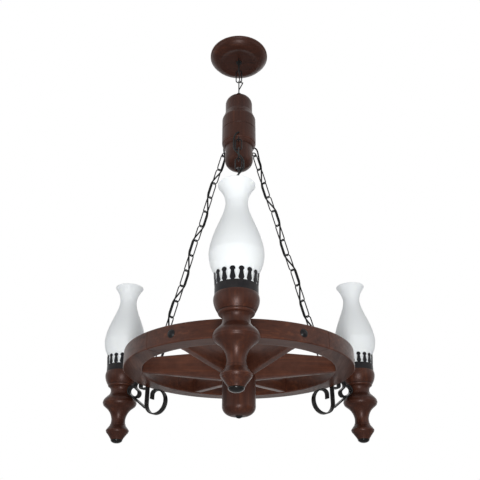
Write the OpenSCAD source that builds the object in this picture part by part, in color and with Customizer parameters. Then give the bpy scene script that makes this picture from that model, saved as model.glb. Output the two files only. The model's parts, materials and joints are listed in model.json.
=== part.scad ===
// Wagon wheel chandelier: a turned centre body hung on two chain links from a wooden canopy,
// three chains down to a spoked wheel, and three lamps with glass chimneys on iron scroll brackets.
// Millimetres, +Z up. The origin is the middle of the canopy's back, on the ceiling.

/* [Wheel] */
// Outer diameter of the wheel's rim
wheel_d = 500; // [440:1:560]
// Width of the rim, from its outer to its inner face
rim_w = 40.5; // [34:0.5:44]
// Height of the rim
rim_h = 36.5; // [32:0.5:44]
// Thickness of a spoke board
spoke_t = 16; // [12:0.5:18]
// How far a spoke's lower edge lies above the rim's underside, at the rim
spoke_lift = 1.5; // [1:0.5:5]
// How far a spoke's upper edge lies below the rim's top, at the rim
spoke_top_drop = 3; // [1:0.5:6]
// How far a spoke's lower edge lies below the rim's underside, at the hub
spoke_hub_drop = 15; // [6:0.5:18]
// How far a spoke's upper edge lies above the rim's top, at the hub
spoke_hub_rise = 12; // [5:0.5:13]
// Diameter of the hub
hub_d = 72.4; // [62:0.2:76]
// Depth of the hub below the rim's underside
hub_drop = 92; // [70:1:110]
// Height of the hub above the rim's top
hub_rise = 17; // [15:1:24]
// Depth of the spokes' seats in the rim and in the hub
seat_depth = 6; // [4:0.5:8]
// Diameter of the black domed heads on the wheel
dome_head_d = 17; // [14:0.5:20]

/* [Chains] */
// Number of links in each of the three side chains
chain_links = 14; // [10:2:18]
// Length of a link over its ends
link_l = 47.1; // [42:0.1:54]
// Width of a link over its sides
link_w = 18.5; // [16:0.5:20]
// Diameter of the links' wire
link_wire_d = 3; // [2.4:0.1:3.2]
// Gap kept where a link bears on the next one
bearing_gap = 0.3; // [0.2:0.05:0.5]
// Mean diameter of the rings of the chains' screw eyes
eye_ring_d = 11; // [10:0.5:13]
// Distance from the rim's outer face to the eyes that the chains end in
rim_eye_inset = 19; // [16:1:24]
// Radius of the upper chain eyes from the centre line
body_eye_r = 47; // [43:1:52]

/* [Centre body] */
// Diameter of the body's thick middle
body_d = 89; // [82:1:94]
// Diameter of the body's neck, upper part and lower bulb
body_neck_d = 72; // [64:1:76]
// Length of the upper turned piece, from its dome to the joint
body_upper_l = 163; // [155:1:190]
// Height of the dome on top
dome_h = 28; // [20:1:36]
// Length of the lower turned piece
body_lower_l = 78; // [66:1:84]
// Diameter of the wiring chamber inside
chamber_d = 52; // [44:1:56]
// Height of the wiring chamber
chamber_h = 60; // [40:1:80]

/* [Canopy] */
// Diameter of the ceiling canopy
canopy_d = 161.6; // [140:0.2:180]
// Height of the canopy
canopy_h = 24; // [22:0.5:30]
// Diameter of the hollow in the canopy's back
canopy_hollow_d = 124; // [116:1:128]
// Distance between the two ceiling screws
screw_spacing = 80; // [70:1:90]
// Diameter of the ceiling screws' holes
screw_hole_d = 5; // [4:0.5:6]
// Mean diameter of the hook's ring
hook_ring_d = 20; // [18:0.5:24]
// Diameter of the hook's wire
hook_wire_d = 3.5; // [3:0.1:4]

/* [Lamps] */
// Distance from the rim's outer face to a lamp's centre line
lamp_reach = 84; // [80:1:92]
// Diameter of the lamp's cup
cup_d = 80.8; // [79:0.2:88]
// Height of the cup's top above the rim's underside
cup_top = 49.5; // [46:0.5:54]
// Diameter of the waist under the cup
waist_d = 48; // [42:0.5:52]
// Diameter of the wide bead under the waist
bead_d = 80.6; // [74:0.2:86]
// Diameter of the lamp's long neck
lamp_neck_d = 33; // [28:0.5:38]
// Diameter of the lower knob
knob_d = 54; // [46:0.5:60]
// Depth of the lamp's wooden tip below the rim's underside
lamp_drop = 112; // [110:0.5:124]
// Height of the black end cap under the tip
cap_h = 8.5; // [6:0.5:12]

/* [Glass and gallery] */
// Outer diameter of the glass chimney's foot
foot_d = 74; // [72:0.2:74.4]
// Largest diameter of the glass
belly_d = 100.4; // [92:0.2:108]
// Diameter of the neck of the glass
glass_neck_d = 42; // [36:0.5:48]
// Diameter of the glass at its mouth
mouth_d = 72; // [60:0.5:76]
// Height of the glass
glass_h = 221; // [200:1:240]
// Wall of the glass
glass_wall = 2.4; // [2:0.1:3]
// Thickness of the gallery's sheet metal
sheet_t = 1; // [0.8:0.1:1.2]
// Height of the gallery's band
band_h = 15.5; // [12:0.5:18]
// Height of the gallery's fingers
finger_h = 24; // [18:0.5:26]
// Number of fingers round the gallery
finger_count = 16; // [12:1:18]

/* [Brackets] */
// Width of the bracket's iron strip
strip_w = 14; // [10:0.5:18]
// Thickness of the strip
strip_t = 3; // [2.5:0.1:3.2]
// Mean radius of the big scroll
scroll_r = 27.5; // [24:0.5:30]
// Slope of the brace, in degrees from level
brace_slope = 36.9; // [34:0.1:39]

/* [Hidden] */
$fn = 72;
fit_gap = 0.1;          // round a screw or rod in the same piece of work
run_gap = 0.3;          // between a part that moves and what it moves in
eps = 0.01;

LAMP_AZ = [-90, 30, 150];       // front, right, left
FELLOE_AZ = [-90, 0, 90, 180];  // middle of each rim piece
SPOKE_COUNT = 6;

wood = [0.33, 0.16, 0.12];
wood_end = [0.27, 0.13, 0.10];
iron = [0.13, 0.13, 0.14];
steel = [0.62, 0.63, 0.65];
opal = [0.93, 0.95, 0.97];
brass = [0.72, 0.58, 0.30];
plastic = [0.90, 0.89, 0.84];

// ---- derived sizes: chain links ----
wire_r = link_wire_d / 2;
link_mid_r = link_w / 2 - wire_r;           // half the width at the wire's middle
link_mid_l = link_l - link_wire_d;          // between the wire's middles at the two ends
bear = link_wire_d + bearing_gap;           // between two bearing wires' middles
pitch = link_mid_l - bear;

// ---- derived sizes: ceiling hook and top links ----
canopy_face = canopy_h - 2.5;               // depth of the flat middle of the canopy's face
hook_collar_h = 3;
hook_neck_l = 12;
hook_wire_r = hook_wire_d / 2;
hook_ring_r = hook_ring_d / 2;
hook_bear = wire_r + hook_wire_r + bearing_gap;
hook_stem_r = 3;                            // threaded stem through the canopy and the bar
bar_l = screw_spacing + 24;
bar_w = 20;
bar_t = 2.5;
hollow_h = canopy_face - 8.5;               // depth of the hollow in the canopy's back
hook_ring_z = -(canopy_face + hook_collar_h + hook_neck_l + hook_ring_r);
pivot_a_z = hook_ring_z - hook_ring_r;      // middle of the hook's lowest wire
upper_top_z = pivot_a_z + hook_bear;        // middle of the upper link's top wire
pivot_b_z = upper_top_z - link_mid_l;       // middle of the upper link's bottom wire
lower_top_z = pivot_b_z + bear;
pivot_c_z = lower_top_z - link_mid_l;       // middle of the lower link's bottom wire
eye_r = eye_ring_d / 2;
eye_shank = 2;                              // shank that shows below an eye's ring
body_ring_z = pivot_c_z + bear - eye_r;     // middle of the ring on the body
body_top_z = body_ring_z - eye_r - wire_r - eye_shank;

// ---- derived sizes: centre body ----
body_r = body_d / 2;
body_neck_r = body_neck_d / 2;
chamber_r = chamber_d / 2;
joint_z = body_top_z - body_upper_l;        // joint between the two turned pieces
body_bottom_z = joint_z - body_lower_l;
chamber_top_z = joint_z + chamber_h;
body_eye_z = joint_z - 13;
lead_hole_z = joint_z + 8;
lead_r = 1.5;
lead_hole_r = 1.9;
lamp_lead_r = 2.1;                           // the leads along the chains are thicker
lamp_lead_hole_r = 2.5;
supply_y = -10;                             // supply lead's hole in the body
canopy_lead_y = -16;                        // supply lead's hole in the canopy
junction_z = chamber_top_z - 8;             // top of the terminal block in the chamber
rod_r = 4;
nut_h = 6.5;
nut_r = 7.5;
nut_seat_z = body_bottom_z + 12;
nut_seat_r = 10;

// ---- derived sizes: side chains, wheel height ----
rim_r = wheel_d / 2;
rim_in = rim_r - rim_w;
rim_eye_r = rim_r - rim_eye_inset;
rim_eye_shank = rim_h / 2;                  // length of an eye's shank inside the rim
body_eye_end = 16;                          // where the upper eyes' shanks end, from the centre line
eye_rise = eye_shank + wire_r + 2 * eye_r;                  // rim top to the middle of the ring's top wire
chain_mid_l = chain_links * pitch + bear;                   // between the chain's end wires' middles
chain_span = chain_mid_l + (eye_r - bear) - bear;           // body ring's middle to the rim ring's top wire
chain_run = rim_eye_r - body_eye_r;
chain_fall = sqrt(chain_span * chain_span - chain_run * chain_run);
chain_tilt = atan2(chain_run, chain_fall);                  // from plumb, outwards
wheel_z = body_eye_z - chain_fall - eye_rise - rim_h;       // the rim's underside

// ---- derived sizes: hub and spokes ----
hub_r = hub_d / 2;
hub_top_z = wheel_z + rim_h + hub_rise;
hub_bottom_z = wheel_z - hub_drop;
spoke_rim_z = [wheel_z + spoke_lift, wheel_z + rim_h - spoke_top_drop];     // lower and upper edge
spoke_hub_z = [wheel_z - spoke_hub_drop, wheel_z + rim_h + spoke_hub_rise];
spoke_r0 = hub_r - seat_depth - 4;
spoke_r1 = rim_in + seat_depth;
spoke_edge = 1.5;                           // chamfer along a spoke's four long edges
chamfer_stop = 8;                           // it stops this far short of the hub and of the rim
bolt_z = wheel_z + rim_h / 2;
bolt_r = 3;
bolt_grip = 40;                             // length of a bolt inside its spoke
head_r = dome_head_d / 2;
head_h = 4.5;
rim_edge = 2;                               // rounding of the rim's edges
dowel_r = 4;
dowel_half = 20;                            // length of a dowel in each of two felloes
dowel_heights = [wheel_z + rim_h * 0.3, wheel_z + rim_h * 0.7];

// ---- derived sizes: lamp ----
lamp_r = rim_r + lamp_reach;
cup_r = cup_d / 2;
waist_r = waist_d / 2;
bead_r = bead_d / 2;
lamp_neck_r = lamp_neck_d / 2;
knob_r = knob_d / 2;
tip_r = 14;
tube_r = 5;
waist_arc_r = 14;                           // hollow of the waist
bead_z = -28.5;                             // edge of the wide bead
knob_z = -92.5;                             // edge of the lower knob
quirk_z = -77.5;                            // small step over the knob
wire_chamber_r = 20;
wire_chamber_h = 20;
lamp_lead_z = cup_top - 15;                 // side hole for the lamp's lead
waist_arc_a = [137.5, 222.7];               // where the waist's hollow begins and ends
cup_belly_z = cup_top - 11;                 // widest place of the cup
cup_low_z = 16.4;                           // where the cup meets the fine ring below it
tube_below = 3.5;                           // the tube reaches this far into the end cap
tube_above = 6;                             // and this far into the lampholder

// ---- derived sizes: gallery and glass ----
foot_r = foot_d / 2;
band_in = foot_r + 0.6;
band_out = band_in + sheet_t;
floor_z = cup_top;                          // gallery's floor plate lies on the cup
glass_z = floor_z + sheet_t + run_gap;
skirt = 2.7;                                // the band reaches this far below the cup's top
finger_z = floor_z - skirt + band_h;
belly_r = belly_d / 2;
glass_neck_r = glass_neck_d / 2;
mouth_r = mouth_d / 2;
finger_gap = 0.5;                           // between the fingers' tips and the glass
finger_turn = 0.6;                          // the first finger's place, in shares of a finger's pitch
glass_drawn_h = 221;                        // height that the glass's outline is drawn for

// ---- derived sizes: lampholder and bulb ----
holder_r = 13.5;
holder_h = 32;
holder_z = floor_z + sheet_t;
bulb_cap_r = 6.95;
bulb_cap_h = 20;
bulb_r = 17.5;
bulb_l = 100;
bulb_z = holder_z + 12;

// ---- derived sizes: bracket, seen in the lamp's upright plane, x from the wheel's middle ----
curl_r = 10;                                // mean radius of the curl in the waist
curl_out = curl_r + strip_t / 2;
curl_nest = (waist_arc_r - curl_out - 0.25) / sqrt(2);
curl_x = lamp_r - waist_r - waist_arc_r + curl_nest;
curl_z = -curl_nest;
curl_end_a = 124;                           // where the curl's strip ends
lower_end_a = 310;                          // where the S scroll's lower curl ends
brace_dir = [cos(brace_slope), sin(brace_slope)];
brace_foot = [curl_x + curl_r * brace_dir[1], curl_z - curl_r * brace_dir[0]];   // where the curl begins
upper_s = [curl_x - 16.6, curl_z + 10.6];   // middles of the S scroll's two curls
lower_s = [curl_x - 14.6, curl_z - 9.4];
upper_s_r = 8.5;
lower_s_r = abs(cross(lower_s - brace_foot, brace_dir)) - strip_t - fit_gap;     // rests on the brace
tail_r = 6.5;
bar_top = rim_h - 3;
scroll_c = [rim_r + strip_t / 2 - scroll_r, -scroll_r - 9];
scroll_flat = 2;
tip_curl_r = 10;
tip_l = 10;
screw_r = 2;
screw_l = rim_w * 0.4;                      // length of a wood screw inside the wood
screw_head_r = 4;
screw_head_h = 2.2;
bar_screws = [rim_h * 0.28, rim_h * 0.72];
curl_screw_x = curl_x + sqrt(pow(curl_r - strip_t / 2, 2) - screw_head_r * screw_head_r);   // under its head

// ---- derived sizes: leads ----
end_gap = run_gap;                          // each stretch stops this far short of a pivot's axis
pivot_a = [0, -12, pivot_a_z];
pivot_b = [link_w / 2 + 1, 0, pivot_b_z];
pivot_c = [0, supply_y - 0.5, pivot_c_z];
weave_a = 12.3;                             // how far a lamp's lead swings to each side of its chain
weave_k = 1.18;                             // over 1, the wave is cut flat along a link's straight sides
weave_steps = 20;                           // rings for each whole wave, which spans four links
weave_rings = weave_steps * (chain_links - 3) / 4;
chain_dir = [sin(chain_tilt), 0, -cos(chain_tilt)];
chain_start = [body_eye_r, 0, body_eye_z] + (eye_r - bear) * chain_dir;
last_side = sin(90 * (chain_links - 3));    // the side on which the lead leaves the chain

// ---- shapes, drawn as shares of the run that they fill ----
cup_top_shape = [[0, 0], [0.667, 0.45]];
cup_low_shape = [[0, 0], [0.054, 0.226], [0.243, 0.475], [0.568, 0.747], [1, 1]];
bead_shape = [[0, 0], [0.25, 0.16], [0.62, 0.4], [0.87, 0.63], [0.98, 0.86], [1, 1]];
cove_shape = [[0, 0], [0.06, 0.08], [0.21, 0.15], [0.44, 0.24], [0.65, 0.35], [0.81, 0.47], [0.93, 0.61],
    [1, 0.76], [1, 0.88], [0.97, 1]];
knob_shape = [[0, 0], [0.06, 0.17], [0.31, 0.37], [0.66, 0.64], [0.95, 0.87], [1, 1]];
tip_shape = [[0, 0], [0.07, 0.13], [0.32, 0.33], [0.6, 0.58], [0.85, 0.82], [1, 1]];
// Half outline of one finger: shares of a finger's pitch, and of its height over the band.
finger_shape = [[0.218, -0.04], [0.218, 0.025], [0.303, 0.092], [0.343, 0.167], [0.323, 0.258],
    [0.244, 0.458], [0.211, 0.633], [0.224, 0.708], [0.31, 0.767], [0.323, 0.833], [0.284, 0.904],
    [0.198, 0.958], [0.099, 0.988], [0, 1]];

// ---- small functions ----
function spline_point(a, b, c, d, t) =
    0.5 * (2 * b + (c - a) * t + (2 * a - 5 * b + 4 * c - d) * t * t
    + (3 * b - a - 3 * c + d) * t * t * t);
function smooth(pts, n = 3) = concat(
    [for (i = [0 : len(pts) - 2]) for (k = [0 : n - 1])
        spline_point(pts[max(i - 1, 0)], pts[i], pts[i + 1], pts[min(i + 2, len(pts) - 1)], k / n)],
    [pts[len(pts) - 1]]);
// A run of a turned outline: fractions of the way from one [radius, height] to another.
function stretch(shape, from, to) =
    [for (s = shape) [from[0] + (to[0] - from[0]) * s[0], from[1] + (to[1] - from[1]) * s[1]]];
function arc(c, r, a0, a1, n = 8) =
    [for (i = [0 : n]) let (a = a0 + (a1 - a0) * i / n) c + r * [cos(a), sin(a)]];
function round_end(r, z, h, n = 8) = [for (i = [0 : n]) [r * cos(90 * i / n), z + h * sin(90 * i / n)]];
function unit(v) = v / norm(v);
function faces(a, mid) = cos(a - mid) > cos(45);

// ---- small modules ----
module turned(outline) { rotate_extrude() polygon(outline); }

module at_lamp(i) { rotate([0, 0, LAMP_AZ[i]]) translate([lamp_r, 0, wheel_z]) children(); }

// Upright plane through a lamp: local X is the distance from the wheel's middle, local Y is height.
module bracket_plane(i) {
    rotate([0, 0, LAMP_AZ[i]]) translate([0, 0, wheel_z]) rotate([90, 0, 0]) children();
}

module bar_along_x(r, l) { rotate([0, 90, 0]) cylinder(r = r, h = l); }

// One link, its length along Z and its width along X, from its bottom wire's middle at the origin.
module link() {
    straight = link_mid_l - 2 * link_mid_r;
    translate([0, 0, link_mid_r]) {
        for (s = [-1, 1]) translate([s * link_mid_r, 0, 0]) cylinder(r = wire_r, h = straight, $fn = 24);
        translate([0, 0, straight]) half_ring(90);
        half_ring(-90);
    }
}

module half_ring(turn) {
    rotate([turn, 0, 0]) rotate_extrude(angle = 180, $fn = 40)
        translate([link_mid_r, 0]) circle(r = wire_r, $fn = 24);
}

// A ring in the XZ plane round the origin.
module ring(mean_r, r) {
    rotate([90, 0, 0]) rotate_extrude($fn = 48) translate([mean_r, 0]) circle(r = r, $fn = 24);
}

// A screw eye, its ring round the origin in the XZ plane and its shank down -Z.
module screw_eye(shank_l) {
    ring(eye_r, wire_r);
    translate([0, 0, -eye_r - shank_l]) cylinder(r = wire_r, h = shank_l, $fn = 24);
}

module dome(r, h) {
    ball = (r * r + h * h) / (2 * h);
    edge_a = asin(r / ball);
    turned(concat([for (i = [0 : 6]) let (a = edge_a * (1 - i / 6)) [ball * sin(a), h - ball + ball * cos(a)]],
        [[0, 0]]));
}

// A strip bent round a mean radius, in the bracket's plane.
module strip_arc(c, r, a0, a1) {
    translate([c[0], c[1], -strip_w / 2]) rotate([0, 0, a0])
        rotate_extrude(angle = a1 - a0) translate([r - strip_t / 2, 0]) square([strip_t, strip_w]);
}

// A straight strip from one point along a direction.
module strip_run(p, a, l) {
    translate([p[0], p[1], -strip_w / 2]) rotate([0, 0, a])
        translate([0, -strip_t / 2, 0]) cube([l, strip_t, strip_w]);
}

// A strip bent along a path of points.
module strip_along(path) {
    last = len(path) - 1;
    side = [for (i = [0 : last]) let (d = unit(path[min(i + 1, last)] - path[max(i - 1, 0)]))
        [-d[1], d[0]] * strip_t / 2];
    there = [for (i = [0 : last]) path[i] + side[i]];
    back = [for (i = [last : -1 : 0]) path[i] - side[i]];
    linear_extrude(height = strip_w, center = true) polygon(concat(there, back));
}

// A round lead swept through points: 8 sides, one ring at each point.
module lead(path, r = lead_r) {
    sides = 8;
    last = len(path) - 1;
    tangents = [for (i = [0 : last]) unit(path[min(i + 1, last)] - path[max(i - 1, 0)])];
    points = [for (i = [0 : last])
        let (u = unit(cross([0, 1, 0.01], tangents[i])), v = cross(tangents[i], u))
        for (k = [0 : sides - 1]) path[i] + r * (cos(360 * k / sides) * u + sin(360 * k / sides) * v)];
    skin = [for (i = [0 : last - 1]) for (k = [0 : sides - 1])
        let (a = i * sides + k, b = i * sides + (k + 1) % sides)
        each [[a, b, b + sides], [a, b + sides, a + sides]]];
    start = [for (k = [1 : sides - 2]) [0, k + 1, k]];
    end = [for (k = [1 : sides - 2]) [last * sides, last * sides + k, last * sides + k + 1]];
    polyhedron(points = points, faces = [for (f = concat(skin, start, end)) [f[2], f[1], f[0]]]);
}

// ---- ceiling fittings ----
module ceiling_bar() {
    color(steel) difference() {
        translate([-bar_l / 2, -bar_w / 2, -bar_t]) cube([bar_l, bar_w, bar_t]);
        for (s = [-1, 1]) translate([s * screw_spacing / 2, 0, -bar_t - 1])
            cylinder(r = screw_hole_d / 2, h = bar_t + 2);
        translate([0, 0, -bar_t - 1]) cylinder(r = hook_stem_r + fit_gap, h = bar_t + 2);
    }
}

module canopy() {
    r = canopy_d / 2;
    lip = r - 22;
    side = smooth([[r - 2, -7.5], [r - 4.8, -12], [r - 9.8, -canopy_h + 7.2], [r - 15.8, -canopy_h + 3.3],
        [lip, -canopy_h + 1], [lip - 4.2, -canopy_h], [lip - 8.2, -canopy_h + 0.6], [lip - 11.8, -canopy_face]]);
    color(wood) difference() {
        turned(concat([[0, 0], [r - 0.8, 0], [r, -1], [r, -5], [r - 0.8, -6.3]], side, [[0, -canopy_face]]));
        translate([0, 0, -hollow_h]) cylinder(r = canopy_hollow_d / 2, h = hollow_h + 1);
        translate([0, 0, -canopy_h - 1]) cylinder(r = hook_stem_r + fit_gap, h = canopy_h + 2);
        translate([0, canopy_lead_y, -canopy_h - 1]) cylinder(r = lead_hole_r, h = canopy_h + 2, $fn = 32);
    }
}

module ceiling_hook() {
    color(iron) {
        translate([0, 0, -canopy_face]) cylinder(r = hook_stem_r, h = canopy_face - 0.5, $fn = 40);
        translate([0, 0, -canopy_face - hook_collar_h]) cylinder(r = 8, h = hook_collar_h);
        translate([0, 0, hook_ring_z + hook_ring_r]) cylinder(r = 2.5, h = hook_neck_l + eps, $fn = 40);
        translate([0, 0, hook_ring_z]) rotate([0, 0, 90]) ring(hook_ring_r, hook_wire_r);
    }
}

module hook_nut() {
    color(steel) difference() {
        translate([0, 0, -bar_t - 5]) cylinder(r = 5.8, h = 5, $fn = 6);
        translate([0, 0, -bar_t - 6]) cylinder(r = hook_stem_r + fit_gap, h = 7, $fn = 40);
    }
}

module terminal_block() {
    color(plastic) difference() {
        translate([-15, -45, -hollow_h]) cube([30, 18, hollow_h - bar_t - 1]);
        for (x = [-10, 0, 10]) translate([x, -36, -8]) cylinder(r = 2, h = 10, $fn = 24);
    }
}

// ---- supply lead, in four stretches that turn with the hook, the links and the body ----
module supply_lead_top() {
    color(iron) lead([[0, -27, -9], [0, -21, -9.5], [0, canopy_lead_y - 1, -12], [0, canopy_lead_y, -16],
        [0, canopy_lead_y, -canopy_h - 4], [0, -15.8, -37], [0, -14.2, -46], [0, -12.8, -52],
        [0, pivot_a[1], pivot_a_z + end_gap]]);
}

module supply_lead_upper() {
    z0 = pivot_a_z;
    z1 = pivot_b_z;
    color(iron) lead([[0, pivot_a[1], z0 - end_gap], [0.5, -10, z0 - 6], [1, -7, z0 - 13],
        [1.5, -2.5, z0 - 20], [2, 2.5, z0 - 26], [4, 5.5, z1 + 8], [8, 5, z1 + 4],
        [pivot_b[0], 2.5, z1 + 1.8], [pivot_b[0] + 0.3, 0.4, z1 + 0.4]]);
}

module supply_lead_lower() {
    z0 = pivot_b_z;
    z1 = pivot_c_z;
    color(iron) lead([[pivot_b[0] + 0.3, -0.5, z0 - 0.4], [pivot_b[0], -3, z0 - 5], [9, -6.5, z0 - 12],
        [6.5, -9.5, z0 - 20], [3.5, -11.5, z0 - 29], [0.8, -11.5, z1 + 6], [0, pivot_c[1], z1 + end_gap]]);
}

module supply_lead_end() {
    color(iron) lead([[0, pivot_c[1], pivot_c_z - end_gap], [0, supply_y, pivot_c_z - 7],
        [0, supply_y, body_top_z - 4], [0, supply_y, body_top_z - 40], [0, supply_y, body_top_z - 75],
        [0, supply_y, junction_z]]);
}

// ---- top links ----
module upper_link() { color(iron) translate([0, 0, pivot_b_z]) link(); }
module lower_link() { color(iron) translate([0, 0, pivot_c_z]) rotate([0, 0, 90]) link(); }

// ---- centre body ----
module body_eye_bolt() {
    rod_l = body_top_z - nut_seat_z + nut_h + 1;
    color(iron) {
        translate([0, 0, body_ring_z]) ring(eye_r, wire_r);
        translate([0, 0, body_top_z - rod_l]) cylinder(r = rod_r, h = rod_l + eps);
        translate([0, 0, body_top_z]) cylinder(r = 4.5, h = eye_shank + wire_r);
    }
}

module body_upper() {
    shoulder_z = body_top_z - 59;
    groove_z = joint_z + 46;
    outline = concat(
        [[0, joint_z], [body_r - 1.6, joint_z]],
        arc([body_r - 3, joint_z + 2.2], 2.4, -55, 10, 4),
        [[body_r, joint_z + 8], [body_r, groove_z - 0.8], [body_r - 0.9, groove_z], [body_r, groove_z + 0.8]],
        smooth([[body_r, shoulder_z - 26], [body_r - 0.6, shoulder_z - 20], [body_r - 4.4, shoulder_z - 11],
            [body_neck_r + 1.4, shoulder_z - 2]]),
        [[body_neck_r, shoulder_z], [body_neck_r, body_top_z - dome_h - 6]],
        round_end(body_neck_r, body_top_z - dome_h, dome_h));
    color(wood) difference() {
        turned(outline);
        translate([0, 0, joint_z - 1]) cylinder(r = chamber_r, h = chamber_h + 1);
        translate([0, 0, joint_z]) cylinder(r = rod_r + fit_gap, h = body_upper_l + 1);
        translate([0, supply_y, joint_z + 1]) cylinder(r = lead_hole_r, h = body_upper_l, $fn = 32);
        for (a = LAMP_AZ) rotate([0, 0, a])
            translate([0, 0, lead_hole_z]) bar_along_x(lamp_lead_hole_r, body_r + 2);
    }
}

module body_lower() {
    tip_h = 30;
    outline = concat(
        [[0, joint_z], [body_r - 2.2, joint_z], [body_r - 2, joint_z - 1.6]],
        smooth([[body_r - 2.6, joint_z - 3], [body_neck_r + 3, joint_z - 8.5], [body_neck_r, joint_z - 12],
            [body_neck_r - 0.3, joint_z - 18], [body_neck_r + 0.4, joint_z - 28]]),
        [for (i = [0 : 8]) [body_neck_r * cos(90 * i / 8) + 0.4 * (1 - i / 8),
            body_bottom_z + tip_h - tip_h * sin(90 * i / 8)]]);
    color(wood) difference() {
        turned(outline);
        translate([0, 0, body_bottom_z - 1]) cylinder(r = rod_r + fit_gap, h = body_lower_l + 2);
        translate([0, 0, body_bottom_z - 1]) cylinder(r = nut_seat_r, h = 13);
        for (a = LAMP_AZ) rotate([0, 0, a])
            translate([body_eye_end - 2, 0, body_eye_z]) bar_along_x(wire_r + fit_gap, body_r);
    }
}

module rod_nut(z) {
    translate([0, 0, z]) difference() {
        cylinder(r = nut_r, h = nut_h, $fn = 6);
        translate([0, 0, -1]) cylinder(r = rod_r + fit_gap, h = nut_h + 2);
    }
}

module rod_nuts() {
    color(steel) {
        rod_nut(nut_seat_z - nut_h);
        rod_nut(hub_top_z);
    }
}

module junction_block() {
    color(plastic) difference() {
        translate([-9, -21, junction_z - 12]) cube([18, 14, 12]);
        for (x = [-5, 0, 5]) translate([x, -16, junction_z - 13]) cylinder(r = 1.5, h = 8, $fn = 24);
    }
}

// ---- side chains and their eyes ----
module body_chain_eyes() {
    color(iron) for (a = LAMP_AZ) rotate([0, 0, a])
        translate([body_eye_r, 0, body_eye_z]) rotate([0, 90, 0])
            screw_eye(body_eye_r - eye_r - body_eye_end);
}

module rim_chain_eyes() {
    color(iron) for (a = LAMP_AZ) rotate([0, 0, a])
        translate([rim_eye_r, 0, wheel_z + rim_h + eye_rise - eye_r]) rotate([0, 0, 90])
            screw_eye(eye_shank + wire_r + rim_eye_shank);
}

// Links stand along the line from the body's ring to the rim's ring; every second one is turned.
module side_chain(i) {
    color(iron) rotate([0, 0, LAMP_AZ[i]])
        translate([body_eye_r, 0, body_eye_z]) rotate([0, 180 - chain_tilt, 0])
            for (k = [0 : chain_links - 1])
                translate([0, 0, eye_r - bear + k * pitch]) rotate([0, 0, k % 2 == 0 ? 90 : 0]) link();
}

module chain_front() { side_chain(0); }
module chain_right() { side_chain(1); }
module chain_left() { side_chain(2); }

// ---- wheel ----
module felloe(i) {
    outline = concat(
        arc([rim_r - rim_edge, rim_edge], rim_edge, -90, 0, 4),
        arc([rim_r - rim_edge, rim_h - rim_edge], rim_edge, 0, 90, 4),
        arc([rim_in + rim_edge, rim_h - rim_edge], rim_edge, 90, 180, 4),
        arc([rim_in + rim_edge, rim_edge], rim_edge, 180, 270, 4));
    mid = FELLOE_AZ[i];
    color(wood) difference() {
        translate([0, 0, wheel_z]) rotate([0, 0, mid - 45])
            rotate_extrude(angle = 90, $fn = 180) polygon(outline);
        for (k = [0 : SPOKE_COUNT - 1]) if (faces(60 * k, mid)) rotate([0, 0, 60 * k]) {
            translate([rim_in - 10, -spoke_t / 2, spoke_rim_z[0]])
                cube([10 + seat_depth, spoke_t, spoke_rim_z[1] - spoke_rim_z[0]]);
            translate([rim_in, 0, bolt_z]) bar_along_x(bolt_r + fit_gap, rim_w + 2);
        }
        for (s = [-45, 45]) for (z = dowel_heights) rotate([0, 0, mid + s])
            translate([rim_in + rim_w / 2, 0, z]) rotate([90, 0, 0])
                cylinder(r = dowel_r + fit_gap, h = 2 * dowel_half + 1, center = true, $fn = 32);
        for (a = LAMP_AZ) if (faces(a, mid)) rotate([0, 0, a]) {
            translate([rim_eye_r, 0, wheel_z + rim_h - rim_eye_shank - 0.5])
                cylinder(r = wire_r + fit_gap, h = rim_eye_shank + 2, $fn = 32);
            for (z = bar_screws) translate([rim_r - screw_l - 2, 0, wheel_z + z])
                bar_along_x(screw_r + fit_gap, screw_l + 4);
        }
    }
}

module felloe_front() { felloe(0); }
module felloe_right() { felloe(1); }
module felloe_back() { felloe(2); }
module felloe_left() { felloe(3); }

module felloe_dowels() {
    color(wood_end) for (m = FELLOE_AZ) for (z = dowel_heights) rotate([0, 0, m + 45])
        translate([rim_in + rim_w / 2, 0, z]) rotate([90, 0, 0])
            cylinder(r = dowel_r, h = 2 * dowel_half, center = true, $fn = 32);
}

// A board on edge that grows deeper from the rim to the hub; its ends stand square in their seats.
module spoke(k) {
    near_rim = rim_in - 1;
    ends = [[spoke_r0, 0], [hub_r, 0], [near_rim, 1], [spoke_r1, 1]];
    board = concat([for (e = ends) [e[0], e[1] == 0 ? spoke_hub_z[0] : spoke_rim_z[0]]],
        [for (j = [3 : -1 : 0]) [ends[j][0], ends[j][1] == 0 ? spoke_hub_z[1] : spoke_rim_z[1]]]);
    color(wood) rotate([0, 0, 60 * k]) difference() {
        rotate([90, 0, 0]) linear_extrude(height = spoke_t, center = true) polygon(board);
        for (edge = [0, 1]) for (side = [-1, 1]) translate([0, side * spoke_t / 2, 0])
            chamfer_cut([hub_r, spoke_hub_z[edge]], [near_rim, spoke_rim_z[edge]], spoke_edge);
        translate([spoke_r1 - bolt_grip - 2, 0, bolt_z]) bar_along_x(bolt_r + fit_gap, bolt_grip + 4);
    }
}

// A square bar turned on its corner along an edge in the XZ plane, to cut a stopped chamfer.
module chamfer_cut(from, to, leg) {
    run = to - from;
    half = leg / sqrt(2);
    translate([from[0], 0, from[1]]) rotate([0, -atan2(run[1], run[0]), 0]) rotate([45, 0, 0])
        translate([chamfer_stop, -half, -half]) cube([norm(run) - 2 * chamfer_stop, 2 * half, 2 * half]);
}

module spoke_1() { spoke(0); }
module spoke_2() { spoke(1); }
module spoke_3() { spoke(2); }
module spoke_4() { spoke(3); }
module spoke_5() { spoke(4); }
module spoke_6() { spoke(5); }

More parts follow.
